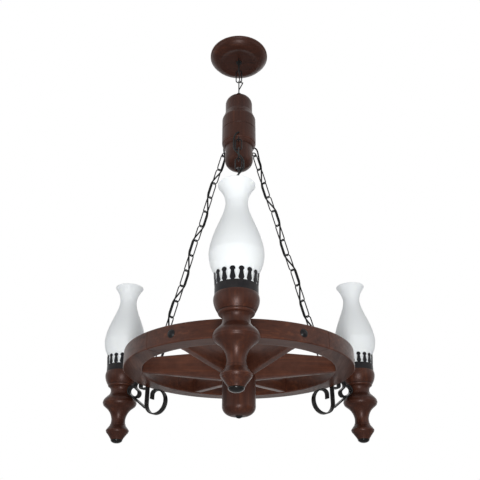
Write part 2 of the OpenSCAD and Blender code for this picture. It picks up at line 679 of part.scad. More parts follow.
module spoke_bolts() {
    color(iron) for (k = [0 : SPOKE_COUNT - 1]) rotate([0, 0, 60 * k]) translate([0, 0, bolt_z]) {
        translate([spoke_r1 - bolt_grip, 0, 0]) bar_along_x(bolt_r, rim_r - spoke_r1 + bolt_grip + eps);
        translate([rim_r, 0, 0]) rotate([0, 90, 0]) dome(head_r, head_h);
    }
}

module hub() {
    outline = concat(
        [[0, hub_top_z], [hub_r - 8, hub_top_z]],
        arc([hub_r - 5, hub_top_z - 5], 5, 90, 0, 5),
        [for (i = [0 : 8]) [12 + (hub_r - 12) * cos(90 * i / 8), hub_bottom_z + 20 - 20 * sin(90 * i / 8)]],
        [[0, hub_bottom_z]]);
    color(wood) difference() {
        turned(outline);
        for (k = [0 : SPOKE_COUNT - 1]) rotate([0, 0, 60 * k])
            translate([spoke_r0, -spoke_t / 2, spoke_hub_z[0]])
                cube([hub_r, spoke_t, spoke_hub_z[1] - spoke_hub_z[0]]);
        translate([0, 0, hub_bottom_z - 1]) cylinder(r = rod_r + fit_gap, h = hub_top_z - hub_bottom_z + 2);
    }
}

module hub_bolt() {
    color(iron) {
        translate([0, 0, hub_bottom_z - eps]) cylinder(r = rod_r, h = hub_top_z - hub_bottom_z + nut_h + 2);
        translate([0, 0, hub_bottom_z]) mirror([0, 0, 1]) dome(head_r, head_h);
    }
}

// ---- brackets ----
module scroll_bar(i) {
    bar_x = rim_r + strip_t / 2;
    flat_end = [scroll_c[0] + scroll_flat, scroll_c[1] + scroll_r];
    color(iron) bracket_plane(i) difference() {
        union() {
            strip_run([bar_x, scroll_c[1]], 90, bar_top - scroll_c[1]);
            strip_arc(scroll_c, scroll_r, -270, 0);
            strip_run([scroll_c[0], flat_end[1]], 0, scroll_flat);
            strip_arc([flat_end[0], flat_end[1] - tip_curl_r], tip_curl_r, 0, 90);
            strip_run([flat_end[0] + tip_curl_r, flat_end[1] - tip_curl_r], -90, tip_l);
        }
        for (z = bar_screws) translate([rim_r - 1, z, 0]) bar_along_x(screw_r + fit_gap, strip_t + 2);
    }
}

module scroll_bar_front() { scroll_bar(0); }
module scroll_bar_right() { scroll_bar(1); }
module scroll_bar_left() { scroll_bar(2); }

// Straight brace from the bar's bend up to the lamp, ending in the curl that lies in the waist.
module brace(i) {
    start = brace_foot - ((brace_foot[0] - rim_r) / brace_dir[0] + 4) * brace_dir;
    bracket_plane(i) difference() {
        strip_along(concat([start], arc([curl_x, curl_z], curl_r, brace_slope - 90, curl_end_a, 30)));
        translate([scroll_c[0], scroll_c[1], -strip_w])
            cylinder(r = scroll_r + strip_t / 2, h = 2 * strip_w, $fn = 120);
        translate([curl_x, curl_z, 0]) bar_along_x(screw_r + fit_gap, curl_out + 2);
    }
}

module braces() { color(iron) for (i = [0 : 2]) brace(i); }

// The S scroll: a tail from the bar, an upper curl, a crossing, and a lower curl.
module s_scroll(i) {
    span = lower_s - upper_s;
    cross_a = atan2(span[1], span[0]) - asin((upper_s_r + lower_s_r) / norm(span));
    tail = [upper_s[0] - upper_s_r - tail_r, upper_s[1] - 4];
    bracket_plane(i) strip_along(concat(
        [[rim_r + strip_t, tail[1] - tail_r]],
        arc(tail, tail_r, -90, 0, 8),
        arc(upper_s, upper_s_r, 180, cross_a + 90, 24),
        arc(lower_s, lower_s_r, cross_a + 270, lower_end_a, 20)));
}

module s_scrolls() { color(iron) for (i = [0 : 2]) s_scroll(i); }

module bracket_screws() {
    color(iron) for (i = [0 : 2]) bracket_plane(i) {
        for (z = bar_screws) translate([rim_r, z, 0]) {
            translate([-screw_l, 0, 0]) bar_along_x(screw_r, screw_l + strip_t + eps);
            translate([strip_t, 0, 0]) rotate([0, 90, 0]) dome(screw_head_r, screw_head_h);
        }
        translate([curl_screw_x, curl_z, 0]) {
            translate([-eps, 0, 0]) bar_along_x(screw_r, curl_x + curl_out + screw_l - 1 - curl_screw_x);
            rotate([0, -90, 0]) dome(screw_head_r, screw_head_h);
        }
    }
}

// ---- lamps ----
module lamp_body(i) {
    cup_side = [cup_r, cup_belly_z];
    waist_c = [waist_r + waist_arc_r, 0];
    waist_end = waist_c + waist_arc_r * [cos(waist_arc_a[1]), sin(waist_arc_a[1])];
    outline = concat(
        [[0, cup_top], [band_in - 0.2, cup_top], [band_in - 0.2, cup_top - skirt]],
        smooth(concat(stretch(cup_top_shape, [band_out, cup_top - skirt], cup_side),
            stretch(cup_low_shape, cup_side, [waist_r + 9, cup_low_z]))),
        [[waist_r + 8.3, cup_low_z - 0.2]],
        smooth([[waist_r + 7.9, 15.6], [waist_r + 8, 13.8], [waist_r + 6.8, 11.4], [waist_r + 4.4, 9.9]]),
        arc(waist_c, waist_arc_r, waist_arc_a[0], waist_arc_a[1], 12),
        smooth(stretch(bead_shape, waist_end + [0.2, -0.2], [bead_r, bead_z])),
        smooth(stretch(cove_shape, [bead_r - 0.8, bead_z - 1.2], [lamp_neck_r, quirk_z + 1])),
        smooth(stretch(knob_shape, [lamp_neck_r + 1.8, quirk_z], [knob_r, knob_z])),
        smooth(stretch(tip_shape, [knob_r - 0.7, knob_z - 1.3], [tip_r, -lamp_drop])),
        [[0, -lamp_drop]]);
    color(wood) at_lamp(i) difference() {
        turned(outline);
        translate([0, 0, -lamp_drop - 1]) cylinder(r = tube_r + fit_gap, h = lamp_drop + cup_top + 2);
        translate([0, 0, cup_top - wire_chamber_h]) cylinder(r = wire_chamber_r, h = wire_chamber_h + 1);
        translate([-cup_r - 2, 0, lamp_lead_z]) bar_along_x(lamp_lead_hole_r, cup_r);
        translate([-waist_r - 2, 0, curl_z]) bar_along_x(screw_r + fit_gap, screw_l + 2);
    }
}

module lamp_body_front() { lamp_body(0); }
module lamp_body_right() { lamp_body(1); }
module lamp_body_left() { lamp_body(2); }

module lamp_tubes() {
    tube_l = tube_below + lamp_drop + holder_z + tube_above;
    color(brass) for (i = [0 : 2]) at_lamp(i) translate([0, 0, -lamp_drop - tube_below]) difference() {
        cylinder(r = tube_r, h = tube_l);
        translate([0, 0, -1]) cylinder(r = tube_r - 1, h = tube_l + 2);
    }
}

module lamp_end_caps() {
    r = tip_r - 0.2;
    side_h = 0.8;
    outline = concat([[0, -lamp_drop], [r - 0.7, -lamp_drop], [r, -lamp_drop - side_h]],
        [for (i = [1 : 8]) [r * cos(90 * i / 8), -lamp_drop - side_h - (cap_h - side_h) * sin(90 * i / 8)]]);
    color(iron) for (i = [0 : 2]) at_lamp(i) difference() {
        turned(outline);
        translate([0, 0, -lamp_drop - tube_below - 0.5]) cylinder(r = tube_r + fit_gap, h = tube_below + 2);
    }
}

// The fingers lean out just enough to clear the glass at their tips.
module gallery(i) {
    pitch_l = 2 * PI * band_out / finger_count;
    half = [for (p = finger_shape) [p[0] * pitch_l, p[1] * finger_h]];
    top = finger_z + finger_h;
    glass_r = lookup(top - glass_z, [for (p = glass_outline(0)) [p[1], p[0]]]);
    finger_flare = glass_r + finger_gap - band_in;
    color(iron) at_lamp(i) {
        difference() {
            turned([[7, floor_z], [band_in, floor_z], [band_in, floor_z - skirt], [band_out, floor_z - skirt],
                [band_out, finger_z], [band_in, finger_z], [band_in, floor_z + sheet_t],
                [7, floor_z + sheet_t]]);
            for (a = [90, 210, 330]) rotate([0, 0, a])
                translate([26, 0, floor_z - 1]) cylinder(r = 4, h = sheet_t + 2, $fn = 32);
        }
        intersection() {
            turned([[band_in, finger_z - 2], [band_in, finger_z], [band_in + finger_flare, top + 1],
                [band_out + finger_flare, top + 1], [band_out, finger_z], [band_out, finger_z - 2]]);
            for (k = [0 : finger_count - 1]) rotate([0, 0, 360 * (k + finger_turn) / finger_count])
                translate([band_in - 3, 0, finger_z]) rotate([90, 0, 90]) linear_extrude(height = 10)
                    polygon(concat(half, [for (j = [len(half) - 1 : -1 : 0]) [-half[j][0], half[j][1]]]));
        }
    }
}

module gallery_front() { gallery(0); }
module gallery_right() { gallery(1); }
module gallery_left() { gallery(2); }

module lampholder(i) {
    color(iron) at_lamp(i) difference() {
        turned([[0, holder_z], [holder_r + 1.5, holder_z], [holder_r + 1.5, holder_z + 4],
            [holder_r, holder_z + 5], [holder_r, holder_z + holder_h - 1],
            [holder_r - 1, holder_z + holder_h], [0, holder_z + holder_h]]);
        translate([0, 0, holder_z - 1]) cylinder(r = tube_r + fit_gap, h = tube_above + 1.1);
        translate([0, 0, bulb_z - run_gap]) cylinder(r = bulb_cap_r + run_gap, h = holder_h);
    }
}

module lampholder_front() { lampholder(0); }
module lampholder_right() { lampholder(1); }
module lampholder_left() { lampholder(2); }

module bulb(i) {
    neck_z = bulb_z + bulb_cap_h;
    top = bulb_z + bulb_l;
    outline = concat([[0, bulb_z], [3, bulb_z], [bulb_cap_r - 0.5, bulb_z + 3]],
        [[bulb_cap_r, bulb_z + 4], [bulb_cap_r, neck_z]],
        smooth([[bulb_cap_r + 0.2, neck_z + 0.5], [10.5, neck_z + 7], [15.5, neck_z + 18],
            [bulb_r, neck_z + 32], [15.2, top - 31], [9, top - 14], [4, top - 4], [1.2, top - 0.4]]),
        [[0, top]]);
    color(plastic) at_lamp(i) turned(outline);
}

module bulb_front() { bulb(0); }
module bulb_right() { bulb(1); }
module bulb_left() { bulb(2); }

// Outline of the glass, drawn in by an inset: [radius, height above the foot], from the foot to the mouth.
function glass_outline(inset) =
    let (foot = foot_r - inset, belly = belly_r - inset, neck = glass_neck_r - inset, mouth = mouth_r - inset)
    let (tall = glass_h / glass_drawn_h, bowl = belly - foot, taper = belly - neck, flare = mouth - neck)
    [for (p = concat([[foot, 0], [foot, 25]], smooth(concat(
        [[foot, 26], [foot + 0.15 * bowl, 35], [foot + 0.37 * bowl, 41.5], [foot + 0.69 * bowl, 51]],
        [[foot + 0.88 * bowl, 61], [foot + 0.99 * bowl, 71], [belly, 76], [belly - 0.03 * taper, 84]],
        [[belly - 0.09 * taper, 94], [belly - 0.25 * taper, 111], [belly - 0.42 * taper, 125]],
        [[belly - 0.61 * taper, 139], [belly - 0.79 * taper, 153], [belly - 0.91 * taper, 164], [neck, 178]],
        [[neck + 0.02 * flare, 187], [neck + 0.2 * flare, 198], [neck + 0.42 * flare, 206]],
        [[neck + 0.74 * flare, 214], [mouth - 0.6, 218.8]]), 2))) [p[0], p[1] * tall]];

module chimney(i) {
    outer = glass_outline(0);
    inner = glass_outline(glass_wall);
    lip = [[mouth_r - 0.4, glass_h - 1], [mouth_r - 1.6, glass_h], [mouth_r - glass_wall, glass_h - 0.6]];
    color(opal) at_lamp(i) translate([0, 0, glass_z])
        turned(concat(outer, lip, [for (j = [len(inner) - 1 : -1 : 0]) inner[j]]));
}

module chimney_front() { chimney(0); }
module chimney_right() { chimney(1); }
module chimney_left() { chimney(2); }

// ---- lamp leads, woven along the chains through every second link ----
// The lead crosses the chain's line in the middle of the second link, and of every second one after it.
function weave_point(k) = let (s = link_mid_l / 2 + pitch + 4 * pitch * k / weave_steps)
    chain_start + s * chain_dir + [0, weave_a * max(-1, min(1, weave_k * sin(360 * k / weave_steps))), 0];

module lamp_lead(i) {
    rim_top = wheel_z + rim_h;
    over_rim = rim_top + lamp_lead_r + 0.6;
    hole_z = wheel_z + lamp_lead_z;
    side = last_side;
    from_body = [[chamber_r - 8, 0, lead_hole_z], [chamber_r, 0, lead_hole_z], [body_r + 1, 0, lead_hole_z],
        [body_r + 3.5, -2, lead_hole_z - 1], [body_r + 5.5, -6.5, lead_hole_z - 7],
        [body_r + 6, -11, lead_hole_z - 17], [body_r + 7.5, -weave_a, lead_hole_z - 29]];
    to_lamp = [[rim_eye_r - 12, side * 14, rim_top + 52], [rim_eye_r - 5, side * 14, rim_top + 34],
        [rim_eye_r + 2, side * 13, rim_top + 17], [rim_eye_r + 9, side * 11, rim_top + 6],
        [rim_r - 4, side * 9, over_rim], [rim_r + 6, side * 6, over_rim - 1.2],
        [rim_r + 16, side * 3, hole_z + 1.2], [rim_r + 26, side * 0.8, hole_z + 0.2], [rim_r + 34, 0, hole_z],
        [lamp_r - cup_r - 1, 0, hole_z], [lamp_r - tube_r - 1, 0, hole_z]];
    rotate([0, 0, LAMP_AZ[i]])
        lead(concat(from_body, [for (k = [-weave_steps / 4 : weave_rings]) weave_point(k)], to_lamp),
            lamp_lead_r);
}

module lamp_leads() { color(iron) for (i = [0 : 2]) lamp_lead(i); }

ceiling_bar();
canopy();
ceiling_hook();
hook_nut();
terminal_block();
supply_lead_top();
upper_link();
supply_lead_upper();
lower_link();
supply_lead_lower();
supply_lead_end();
body_eye_bolt();
body_upper();
body_lower();
rod_nuts();
junction_block();
body_chain_eyes();
rim_chain_eyes();
chain_front();
chain_right();
chain_left();
felloe_front();
felloe_right();
felloe_back();
felloe_left();
felloe_dowels();
spoke_1();
spoke_2();
spoke_3();
spoke_4();
spoke_5();
spoke_6();
spoke_bolts();
hub();
hub_bolt();
scroll_bar_front();
scroll_bar_right();
scroll_bar_left();
braces();
s_scrolls();
bracket_screws();
lamp_tubes();
lamp_end_caps();
lamp_leads();
lamp_body_front();
lamp_body_right();
lamp_body_left();
gallery_front();
gallery_right();
gallery_left();
lampholder_front();
lampholder_right();
lampholder_left();
bulb_front();
bulb_right();
bulb_left();
chimney_front();
chimney_right();
chimney_left();
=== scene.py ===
"""Wagon wheel chandelier: finishes, meshes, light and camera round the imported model.

Lengths in the classes are millimetres, as a turner or a smith would write them, and become metres
where a mesh is made. Each class makes one sub-assembly and sets its pieces on the bodies they move with.
"""

import json
import logging
import math
from dataclasses import dataclass, field
from enum import Enum
from typing import Iterable, Optional, Sequence

import bmesh
import bpy
from mathutils import Matrix, Vector


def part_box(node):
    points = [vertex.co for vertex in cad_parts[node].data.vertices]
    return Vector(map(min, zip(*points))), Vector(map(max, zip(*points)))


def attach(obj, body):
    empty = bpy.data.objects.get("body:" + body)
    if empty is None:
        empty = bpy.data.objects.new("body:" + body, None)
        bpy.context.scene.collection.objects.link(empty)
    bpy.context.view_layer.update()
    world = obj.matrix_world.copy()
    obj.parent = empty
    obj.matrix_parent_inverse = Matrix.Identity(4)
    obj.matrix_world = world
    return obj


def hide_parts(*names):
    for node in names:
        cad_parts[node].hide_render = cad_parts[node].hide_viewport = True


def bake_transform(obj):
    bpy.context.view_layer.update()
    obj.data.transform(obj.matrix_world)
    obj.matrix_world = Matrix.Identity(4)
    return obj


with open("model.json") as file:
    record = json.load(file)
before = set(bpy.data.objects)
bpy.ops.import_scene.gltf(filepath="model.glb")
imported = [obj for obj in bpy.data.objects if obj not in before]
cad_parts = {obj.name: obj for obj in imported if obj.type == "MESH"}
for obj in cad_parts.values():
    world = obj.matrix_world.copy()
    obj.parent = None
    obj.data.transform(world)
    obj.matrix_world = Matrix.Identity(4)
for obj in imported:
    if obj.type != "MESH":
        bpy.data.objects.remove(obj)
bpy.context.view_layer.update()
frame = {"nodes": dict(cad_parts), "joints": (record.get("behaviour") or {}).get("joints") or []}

LOG = logging.getLogger("chandelier")
MM = 0.001
POLE = 1e-4  # a turned outline's point nearer to the axis than this, in millimetres, lies on it
PHOTO_SIZE = 480

Outline = list[tuple[float, float]]
Colour = tuple[float, float, float]


class Side(Enum):
    """The three lamps, by the azimuth of their centre lines in degrees."""

    FRONT = -90
    RIGHT = 30
    LEFT = 150

    @property
    def tag(self) -> str:
        """The side's word in the names of pieces and nodes."""
        return self.name.lower()

    def turn(self) -> Matrix:
        """Turn about Z that brings local +X to this side."""
        return Matrix.Rotation(math.radians(self.value), 4, "Z")


class Body(Enum):
    """The rigid bodies that pieces ride on."""

    CEILING = "ceiling_fitting"
    LINK_1 = "link_1"
    LINK_2 = "link_2"
    PENDANT = "pendant"


@dataclass(frozen=True)
class SharedSizes:
    """Sizes in millimetres that more than one sub-assembly needs."""

    rim_radius: float = 250.0
    rim_height: float = 36.5
    body_radius: float = 44.5
    cup_radius: float = 40.4
    cup_top: float = 49.5
    gallery_skirt: float = 2.7


SIZES = SharedSizes()
LAMP_COUNT = 3
LAMP_STEP = math.radians(360 / LAMP_COUNT)
FIRST_LAMP = math.radians(Side.FRONT.value)

# ---------------------------------------------------------------- outlines and curves


def arc(centre: tuple[float, float], radius: float, start: float, end: float, steps: int = 10) -> Outline:
    """Points on a circle.

    Args:
        centre: Middle of the circle.
        radius: Its radius.
        start: First angle, in degrees.
        end: Last angle, in degrees.
        steps: Number of pieces that the arc is cut into.

    Returns:
        The points, both ends included.
    """
    angles = [math.radians(start + (end - start) * i / steps) for i in range(steps + 1)]
    return [(centre[0] + radius * math.cos(a), centre[1] + radius * math.sin(a)) for a in angles]


def smooth(points: Sequence[Sequence[float]], cuts: int = 6) -> list[tuple[float, ...]]:
    """A smooth curve through points, with the same rule as the model's outlines.

    Args:
        points: Points that the curve passes through.
        cuts: Pieces made of each span.

    Returns:
        The denser list of points.
    """
    dense = []
    last = len(points) - 1
    for i in range(last):
        a, b = points[max(i - 1, 0)], points[i]
        c, d = points[i + 1], points[min(i + 2, last)]
        for step in range(cuts):
            t = step / cuts
            dense.append(tuple(
                0.5 * (2 * q + (r - p) * t + (2 * p - 5 * q + 4 * r - s) * t * t
                       + (3 * q - p - 3 * r + s) * t ** 3)
                for p, q, r, s in zip(a, b, c, d)))
    dense.append(tuple(points[last]))
    return dense


def stretch(shape: Outline, start: tuple[float, float], end: tuple[float, float]) -> Outline:
    """A run of an outline, given as fractions of the way from one point to another."""
    return [(start[0] + (end[0] - start[0]) * u, start[1] + (end[1] - start[1]) * v) for u, v in shape]


def quarter(radius: float, z: float, height: float, base: float = 0.0, steps: int = 16) -> Outline:
    """A quarter ellipse from a radius at height z to a base radius at z + height."""
    angles = [math.pi / 2 * i / steps for i in range(steps + 1)]
    return [(base + (radius - base) * math.cos(a), z + height * math.sin(a)) for a in angles]


def relief_of(outline: Outline, reach: float = 1.6) -> list[float]:
    """How much each point of an outline stands out as a ridge, or lies in as a groove.

    Args:
        outline: Points in millimetres, with the solid on the left of their direction.
        reach: Distance over which a corner is felt, in millimetres.

    Returns:
        A value from -1 in a groove to 1 on a sharp ridge for each point.
    """
    last = len(outline) - 1
    turns = [0.0] * (last + 1)
    along = [0.0]
    for i in range(1, last + 1):
        along.append(along[-1] + math.dist(outline[i - 1], outline[i]))
    for i in range(1, last):
        before = Vector(outline[i]) - Vector(outline[i - 1])
        after = Vector(outline[i + 1]) - Vector(outline[i])
        if before.length and after.length:
            turns[i] = -before.angle_signed(after)
    felt = []
    for i in range(last + 1):
        total = sum(turns[j] * math.exp(-((along[i] - along[j]) / reach) ** 2) for j in range(last + 1))
        felt.append(max(-1.0, min(1.0, total)))
    return felt


# ---------------------------------------------------------------- meshes


def piece_from(name: str, mesh: bpy.types.Mesh,
               material: Optional[bpy.types.Material] = None) -> bpy.types.Object:
    """Links a mesh to the scene as a piece.

    Args:
        name: Name of the piece.
        mesh: Its mesh, already in place.
        material: Its finish, if the mesh has none yet.

    Returns:
        The new object.
    """
    made = bpy.data.objects.new(name, mesh)
    bpy.context.scene.collection.objects.link(made)
    if material is not None:
        mesh.materials.clear()
        mesh.materials.append(material)
    return made


def shade(mesh: bpy.types.Mesh, angle: float = 32.0) -> None:
    """Shades a mesh smooth, and keeps edges past an angle in degrees sharp."""
    mesh.shade_smooth()
    mesh.set_sharp_from_angle(angle=math.radians(angle))


def closed_mesh(name: str, bm: bmesh.types.BMesh, angle: float = 32.0) -> bpy.types.Mesh:
    """Turns a finished bmesh into a mesh whose faces point outwards.

    Args:
        name: Name of the mesh.
        bm: The shape, in metres; it is freed.
        angle: Edges sharper than this, in degrees, stay sharp.

    Returns:
        The mesh.
    """
    bmesh.ops.remove_doubles(bm, verts=bm.verts, dist=1e-7)
    bmesh.ops.recalc_face_normals(bm, faces=bm.faces)
    mesh = bpy.data.meshes.new(name)
    bm.to_mesh(mesh)
    bm.free()
    shade(mesh, angle)
    return mesh


def turned_mesh(name: str, outline: Outline, place: Matrix = Matrix(), steps: int = 96) -> bpy.types.Mesh:
    """A turned solid.

    Args:
        name: Name of the mesh.
        outline: Radius and height in millimetres, once round the solid's half, bottom to top outside.
        place: Where the solid goes, in metres.
        steps: Facets round the axis.

    Returns:
        The mesh, with its relief attribute.
    """
    rings = []
    for radius, height in outline:
        turns = [2 * math.pi * k / steps for k in range(steps)] if radius >= POLE else [0.0]
        reach = radius if radius >= POLE else 0.0
        rings.append([place @ (Vector((reach * math.cos(a), reach * math.sin(a), height)) * MM)
                      for a in turns])
    felt = [[value] * len(ring) for ring, value in zip(rings, relief_of(outline))]
    return lofted_mesh(name, rings, felt, closed=True)


def bridge(bm: bmesh.types.BMesh, low: list[bmesh.types.BMVert], high: list[bmesh.types.BMVert]) -> None:
    """Joins two rings of a loft, either of which may be a single point on the axis."""
    count = max(len(low), len(high))
    if count == 1:
        return
    for k in range(count):
        corners = [low[k % len(low)], low[(k + 1) % len(low)], high[(k + 1) % len(high)], high[k % len(high)]]
        bm.faces.new(list(dict.fromkeys(corners)))


def lofted_mesh(name: str, rings: Sequence[Sequence[Vector]], felt: Sequence[Sequence[float]],
                closed: bool = False, angle: float = 32.0) -> bpy.types.Mesh:
    """A skin over rings of points.

    Args:
        name: Name of the mesh.
        rings: Points of each ring, in metres.
        felt: Relief of each point.
        closed: True to join the last ring to the first, False to cap both.
        angle: Edges sharper than this, in degrees, stay sharp.

    Returns:
        The mesh, with its relief attribute.
    """
    bm = bmesh.new()
    layer = bm.verts.layers.float.new("relief")
    skin = []
    for points, values in zip(rings, felt):
        skin.append([bm.verts.new(point) for point in points])
        for vert, value in zip(skin[-1], values):
            vert[layer] = value
    for low, high in zip(skin, skin[1:]):
        bridge(bm, low, high)
    if closed:
        bridge(bm, skin[-1], skin[0])
    else:
        bm.faces.new(skin[0])
        bm.faces.new(skin[-1])
    return closed_mesh(name, bm, angle)


def swept_mesh(name: str, path: Sequence[Vector], section: Outline, closed: bool = False,
               across: Optional[Vector] = None, felt: Optional[Sequence[float]] = None,
               angle: float = 32.0) -> bpy.types.Mesh:
    """A section carried along a path.

    Args:
        name: Name of the mesh.
        path: Points of the centre line, in metres.
        section: Closed section in millimetres; its second coordinate lies along across.
        closed: True if the path comes back to its start.
        across: Fixed direction of the section's second axis, or None for one that rolls as little as it can.
        felt: Relief of each point of the section.
        angle: Edges sharper than this, in degrees, stay sharp.

    Returns:
        The mesh, with its relief attribute.
    """
    count = len(path)
    rings = []
    side = across
    for i, point in enumerate(path):
        before = path[i - 1] if closed or i else path[0]
        after = path[(i + 1) % count] if closed or i < count - 1 else path[-1]
        tangent = (after - before).normalized()
        if across is None:
            seed = side if side is not None else tangent.orthogonal()
            side = (seed - tangent * seed.dot(tangent)).normalized()
        up = tangent.cross(side).normalized()
        rings.append([point + (up * x + side * y) * MM for x, y in section])
    values = [felt or [0.0] * len(section)] * count
    return lofted_mesh(name, rings, values, closed, angle)


def round_section(radius: float, sides: int = 14) -> Outline:
    """A round section in millimetres."""
    return [(radius * math.cos(2 * math.pi * k / sides), radius * math.sin(2 * math.pi * k / sides))
            for k in range(sides)]


def bar_section(thick: float, wide: float, corner: float, steps: int = 3) -> tuple[Outline, list[float]]:
    """A flat bar's section with rounded corners.

    Args:
        thick: Size along the first axis, in millimetres.
        wide: Size along the second axis.
        corner: Radius of the corners.
        steps: Pieces of each corner.

    Returns:
        The section and the relief of its points.
    """
    x, y = thick / 2 - corner, wide / 2 - corner
    section = []
    for cx, cy, start in ((x, y, 0), (-x, y, 90), (-x, -y, 180), (x, -y, 270)):
        section += arc((cx, cy), corner, start, start + 90, steps)
    # Every point counts as a ridge, so the whole strip takes the lighter ridge colour, partly wearing and
    # partly a painted highlight.
    return section, [1.0] * len(section)


def ring_path(radius: float, count: int = 48, start: float = 0.0, sweep: float = 360.0) -> list[Vector]:
    """Points of a circle in the XZ plane, in metres."""
    whole = sweep >= 360
    steps = count if whole else count - 1
    angles = [math.radians(start + sweep * k / steps) for k in range(count)]
    return [Vector((radius * math.cos(a), 0, radius * math.sin(a))) * MM for a in angles]


def joined(name: str, meshes: Iterable[bpy.types.Mesh]) -> bpy.types.Mesh:
    """One mesh of several, with their relief kept.

    Args:
        name: Name of the new mesh.
        meshes: The meshes to join; they are removed.

    Returns:
        The joined mesh.
    """
    bm = bmesh.new()
    for mesh in meshes:
        bm.from_mesh(mesh)
        bpy.data.meshes.remove(mesh)
    mesh = bpy.data.meshes.new(name)
    bm.to_mesh(mesh)
    bm.free()
    shade(mesh)
    return mesh


def placed(mesh: bpy.types.Mesh, place: Matrix) -> bpy.types.Mesh:
    """Moves a mesh's own points, and gives the mesh back."""
    mesh.transform(place)
    mesh.update()
    return mesh


def cad_copy(node: str, angle: float = 30.0) -> bpy.types.Mesh:
    """A merged copy of a CAD node's mesh, shaded smooth.

    Args:
        node: Name of the node.
        angle: Edges sharper than this, in degrees, stay sharp.

    Returns:
        The copy.
    """
    bm = bmesh.new()
    bm.from_mesh(frame["nodes"][node].data)
    bmesh.ops.remove_doubles(bm, verts=bm.verts, dist=1e-6)
    mesh = bpy.data.meshes.new(node + "_dressed")
    bm.to_mesh(mesh)
    bm.free()
    shade(mesh, angle)
    return mesh


# ---------------------------------------------------------------- repeats, made by geometry nodes


class RepeatTree:
    """A geometry node tree that repeats the mesh it is given, and gives every copy one finish."""

    def __init__(self, name: str, sockets: dict[str, str]) -> None:
        """Opens a tree.

        Args:
            name: Name of the tree.
            sockets: Socket type of each of its sizes, by name.
        """
        self.tree = bpy.data.node_groups.new(name, "GeometryNodeTree")
        interface = self.tree.interface
        interface.new_socket("Geometry", in_out="INPUT", socket_type="NodeSocketGeometry")
        for title, kind in sockets.items():
            interface.new_socket(title, in_out="INPUT", socket_type=kind)
        interface.new_socket("Finish", in_out="INPUT", socket_type="NodeSocketMaterial")
        interface.new_socket("Geometry", in_out="OUTPUT", socket_type="NodeSocketGeometry")
        self.inlet = self.tree.nodes.new("NodeGroupInput")

    def node(self, kind: str, **settings: object) -> bpy.types.Node:
        """Adds a node and sets its options."""
        made = self.tree.nodes.new(kind)
        for option, value in settings.items():
            setattr(made, option, value)
        return made

    def link(self, out: bpy.types.NodeSocket, into: bpy.types.NodeSocket) -> None:
        """Joins two sockets."""
        self.tree.links.new(out, into)

    def index_times(self, step: bpy.types.NodeSocket, first: Optional[bpy.types.NodeSocket] = None,
                    wrap: int = 0) -> bpy.types.NodeSocket:
        """An angle that grows with the copy's number.

        Args:
            step: Angle from one copy to the next.
            first: Angle of the first copy.
            wrap: Number of copies after which the angle starts again, or 0.

        Returns:
            A vector socket that turns by the angle about Z.
        """
        number = self.node("GeometryNodeInputIndex").outputs["Index"]
        if wrap:
            modulo = self.node("ShaderNodeMath", operation="MODULO")
            modulo.inputs[1].default_value = wrap
            self.link(number, modulo.inputs[0])
            number = modulo.outputs[0]
        angle = self.node("ShaderNodeMath", operation="MULTIPLY_ADD")
        self.link(number, angle.inputs[0])
        self.link(step, angle.inputs[1])
        if first is None:
            angle.inputs[2].default_value = 0.0
        else:
            self.link(first, angle.inputs[2])
        turn = self.node("ShaderNodeCombineXYZ")
        self.link(angle.outputs[0], turn.inputs["Z"])
        return turn.outputs[0]

    def close(self, geometry: bpy.types.NodeSocket) -> None:
        """Ends the tree in real copies with their finish."""
        real = self.node("GeometryNodeRealizeInstances")
        finish = self.node("GeometryNodeSetMaterial")
        outlet = self.tree.nodes.new("NodeGroupOutput")
        self.link(geometry, real.inputs[0])
        self.link(real.outputs[0], finish.inputs["Geometry"])
        self.link(self.inlet.outputs["Finish"], finish.inputs["Material"])
        self.link(finish.outputs[0], outlet.inputs[0])

    def use(self, name: str, mesh: bpy.types.Mesh, **sizes: object) -> bpy.types.Object:
        """Runs the tree on a mesh and keeps the result as a plain piece.

        Args:
            name: Name of the piece.
            mesh: The mesh that is repeated.
            sizes: A value for each socket, by its name with underscores for blanks.

        Returns:
            The piece, with no modifier left on it.
        """
        made = piece_from(name, mesh)
        modifier = made.modifiers.new("repeat", "NODES")
        modifier.node_group = self.tree
        for item in self.tree.interface.items_tree:
            if item.in_out == "INPUT" and item.name.replace(" ", "_") in sizes:
                modifier[item.identifier] = sizes[item.name.replace(" ", "_")]
        bpy.context.view_layer.update()
        evaluated = made.evaluated_get(bpy.context.evaluated_depsgraph_get())
        result = bpy.data.meshes.new_from_object(evaluated)
        made.modifiers.remove(modifier)
        made.data = result
        result.name = name
        bpy.data.meshes.remove(mesh)
        return made


def link_row_tree() -> RepeatTree:
    """Links hung one in another along a straight line, every second one turned a quarter."""
    row = RepeatTree("link_row", {
        "Count": "NodeSocketInt", "Pitch": "NodeSocketFloat", "Quarter": "NodeSocketFloat",
        "Start": "NodeSocketVector", "Lean": "NodeSocketVector"})
    offset = row.node("ShaderNodeCombineXYZ")
    down = row.node("ShaderNodeMath", operation="MULTIPLY")
    down.inputs[1].default_value = -1.0
    row.link(row.inlet.outputs["Pitch"], down.inputs[0])
    row.link(down.outputs[0], offset.inputs["Z"])
    line = row.node("GeometryNodeMeshLine", mode="OFFSET")
    row.link(row.inlet.outputs["Count"], line.inputs["Count"])
    row.link(offset.outputs[0], line.inputs["Offset"])
    copies = row.node("GeometryNodeInstanceOnPoints")
    row.link(line.outputs[0], copies.inputs["Points"])
    row.link(row.inlet.outputs["Geometry"], copies.inputs["Instance"])
    row.link(row.index_times(row.inlet.outputs["Quarter"], wrap=2), copies.inputs["Rotation"])
    real = row.node("GeometryNodeRealizeInstances")
    hang = row.node("GeometryNodeTransform")
    row.link(copies.outputs[0], real.inputs[0])
    row.link(real.outputs[0], hang.inputs["Geometry"])
    row.link(row.inlet.outputs["Start"], hang.inputs["Translation"])
    row.link(row.inlet.outputs["Lean"], hang.inputs["Rotation"])
    row.close(hang.outputs[0])
    return row


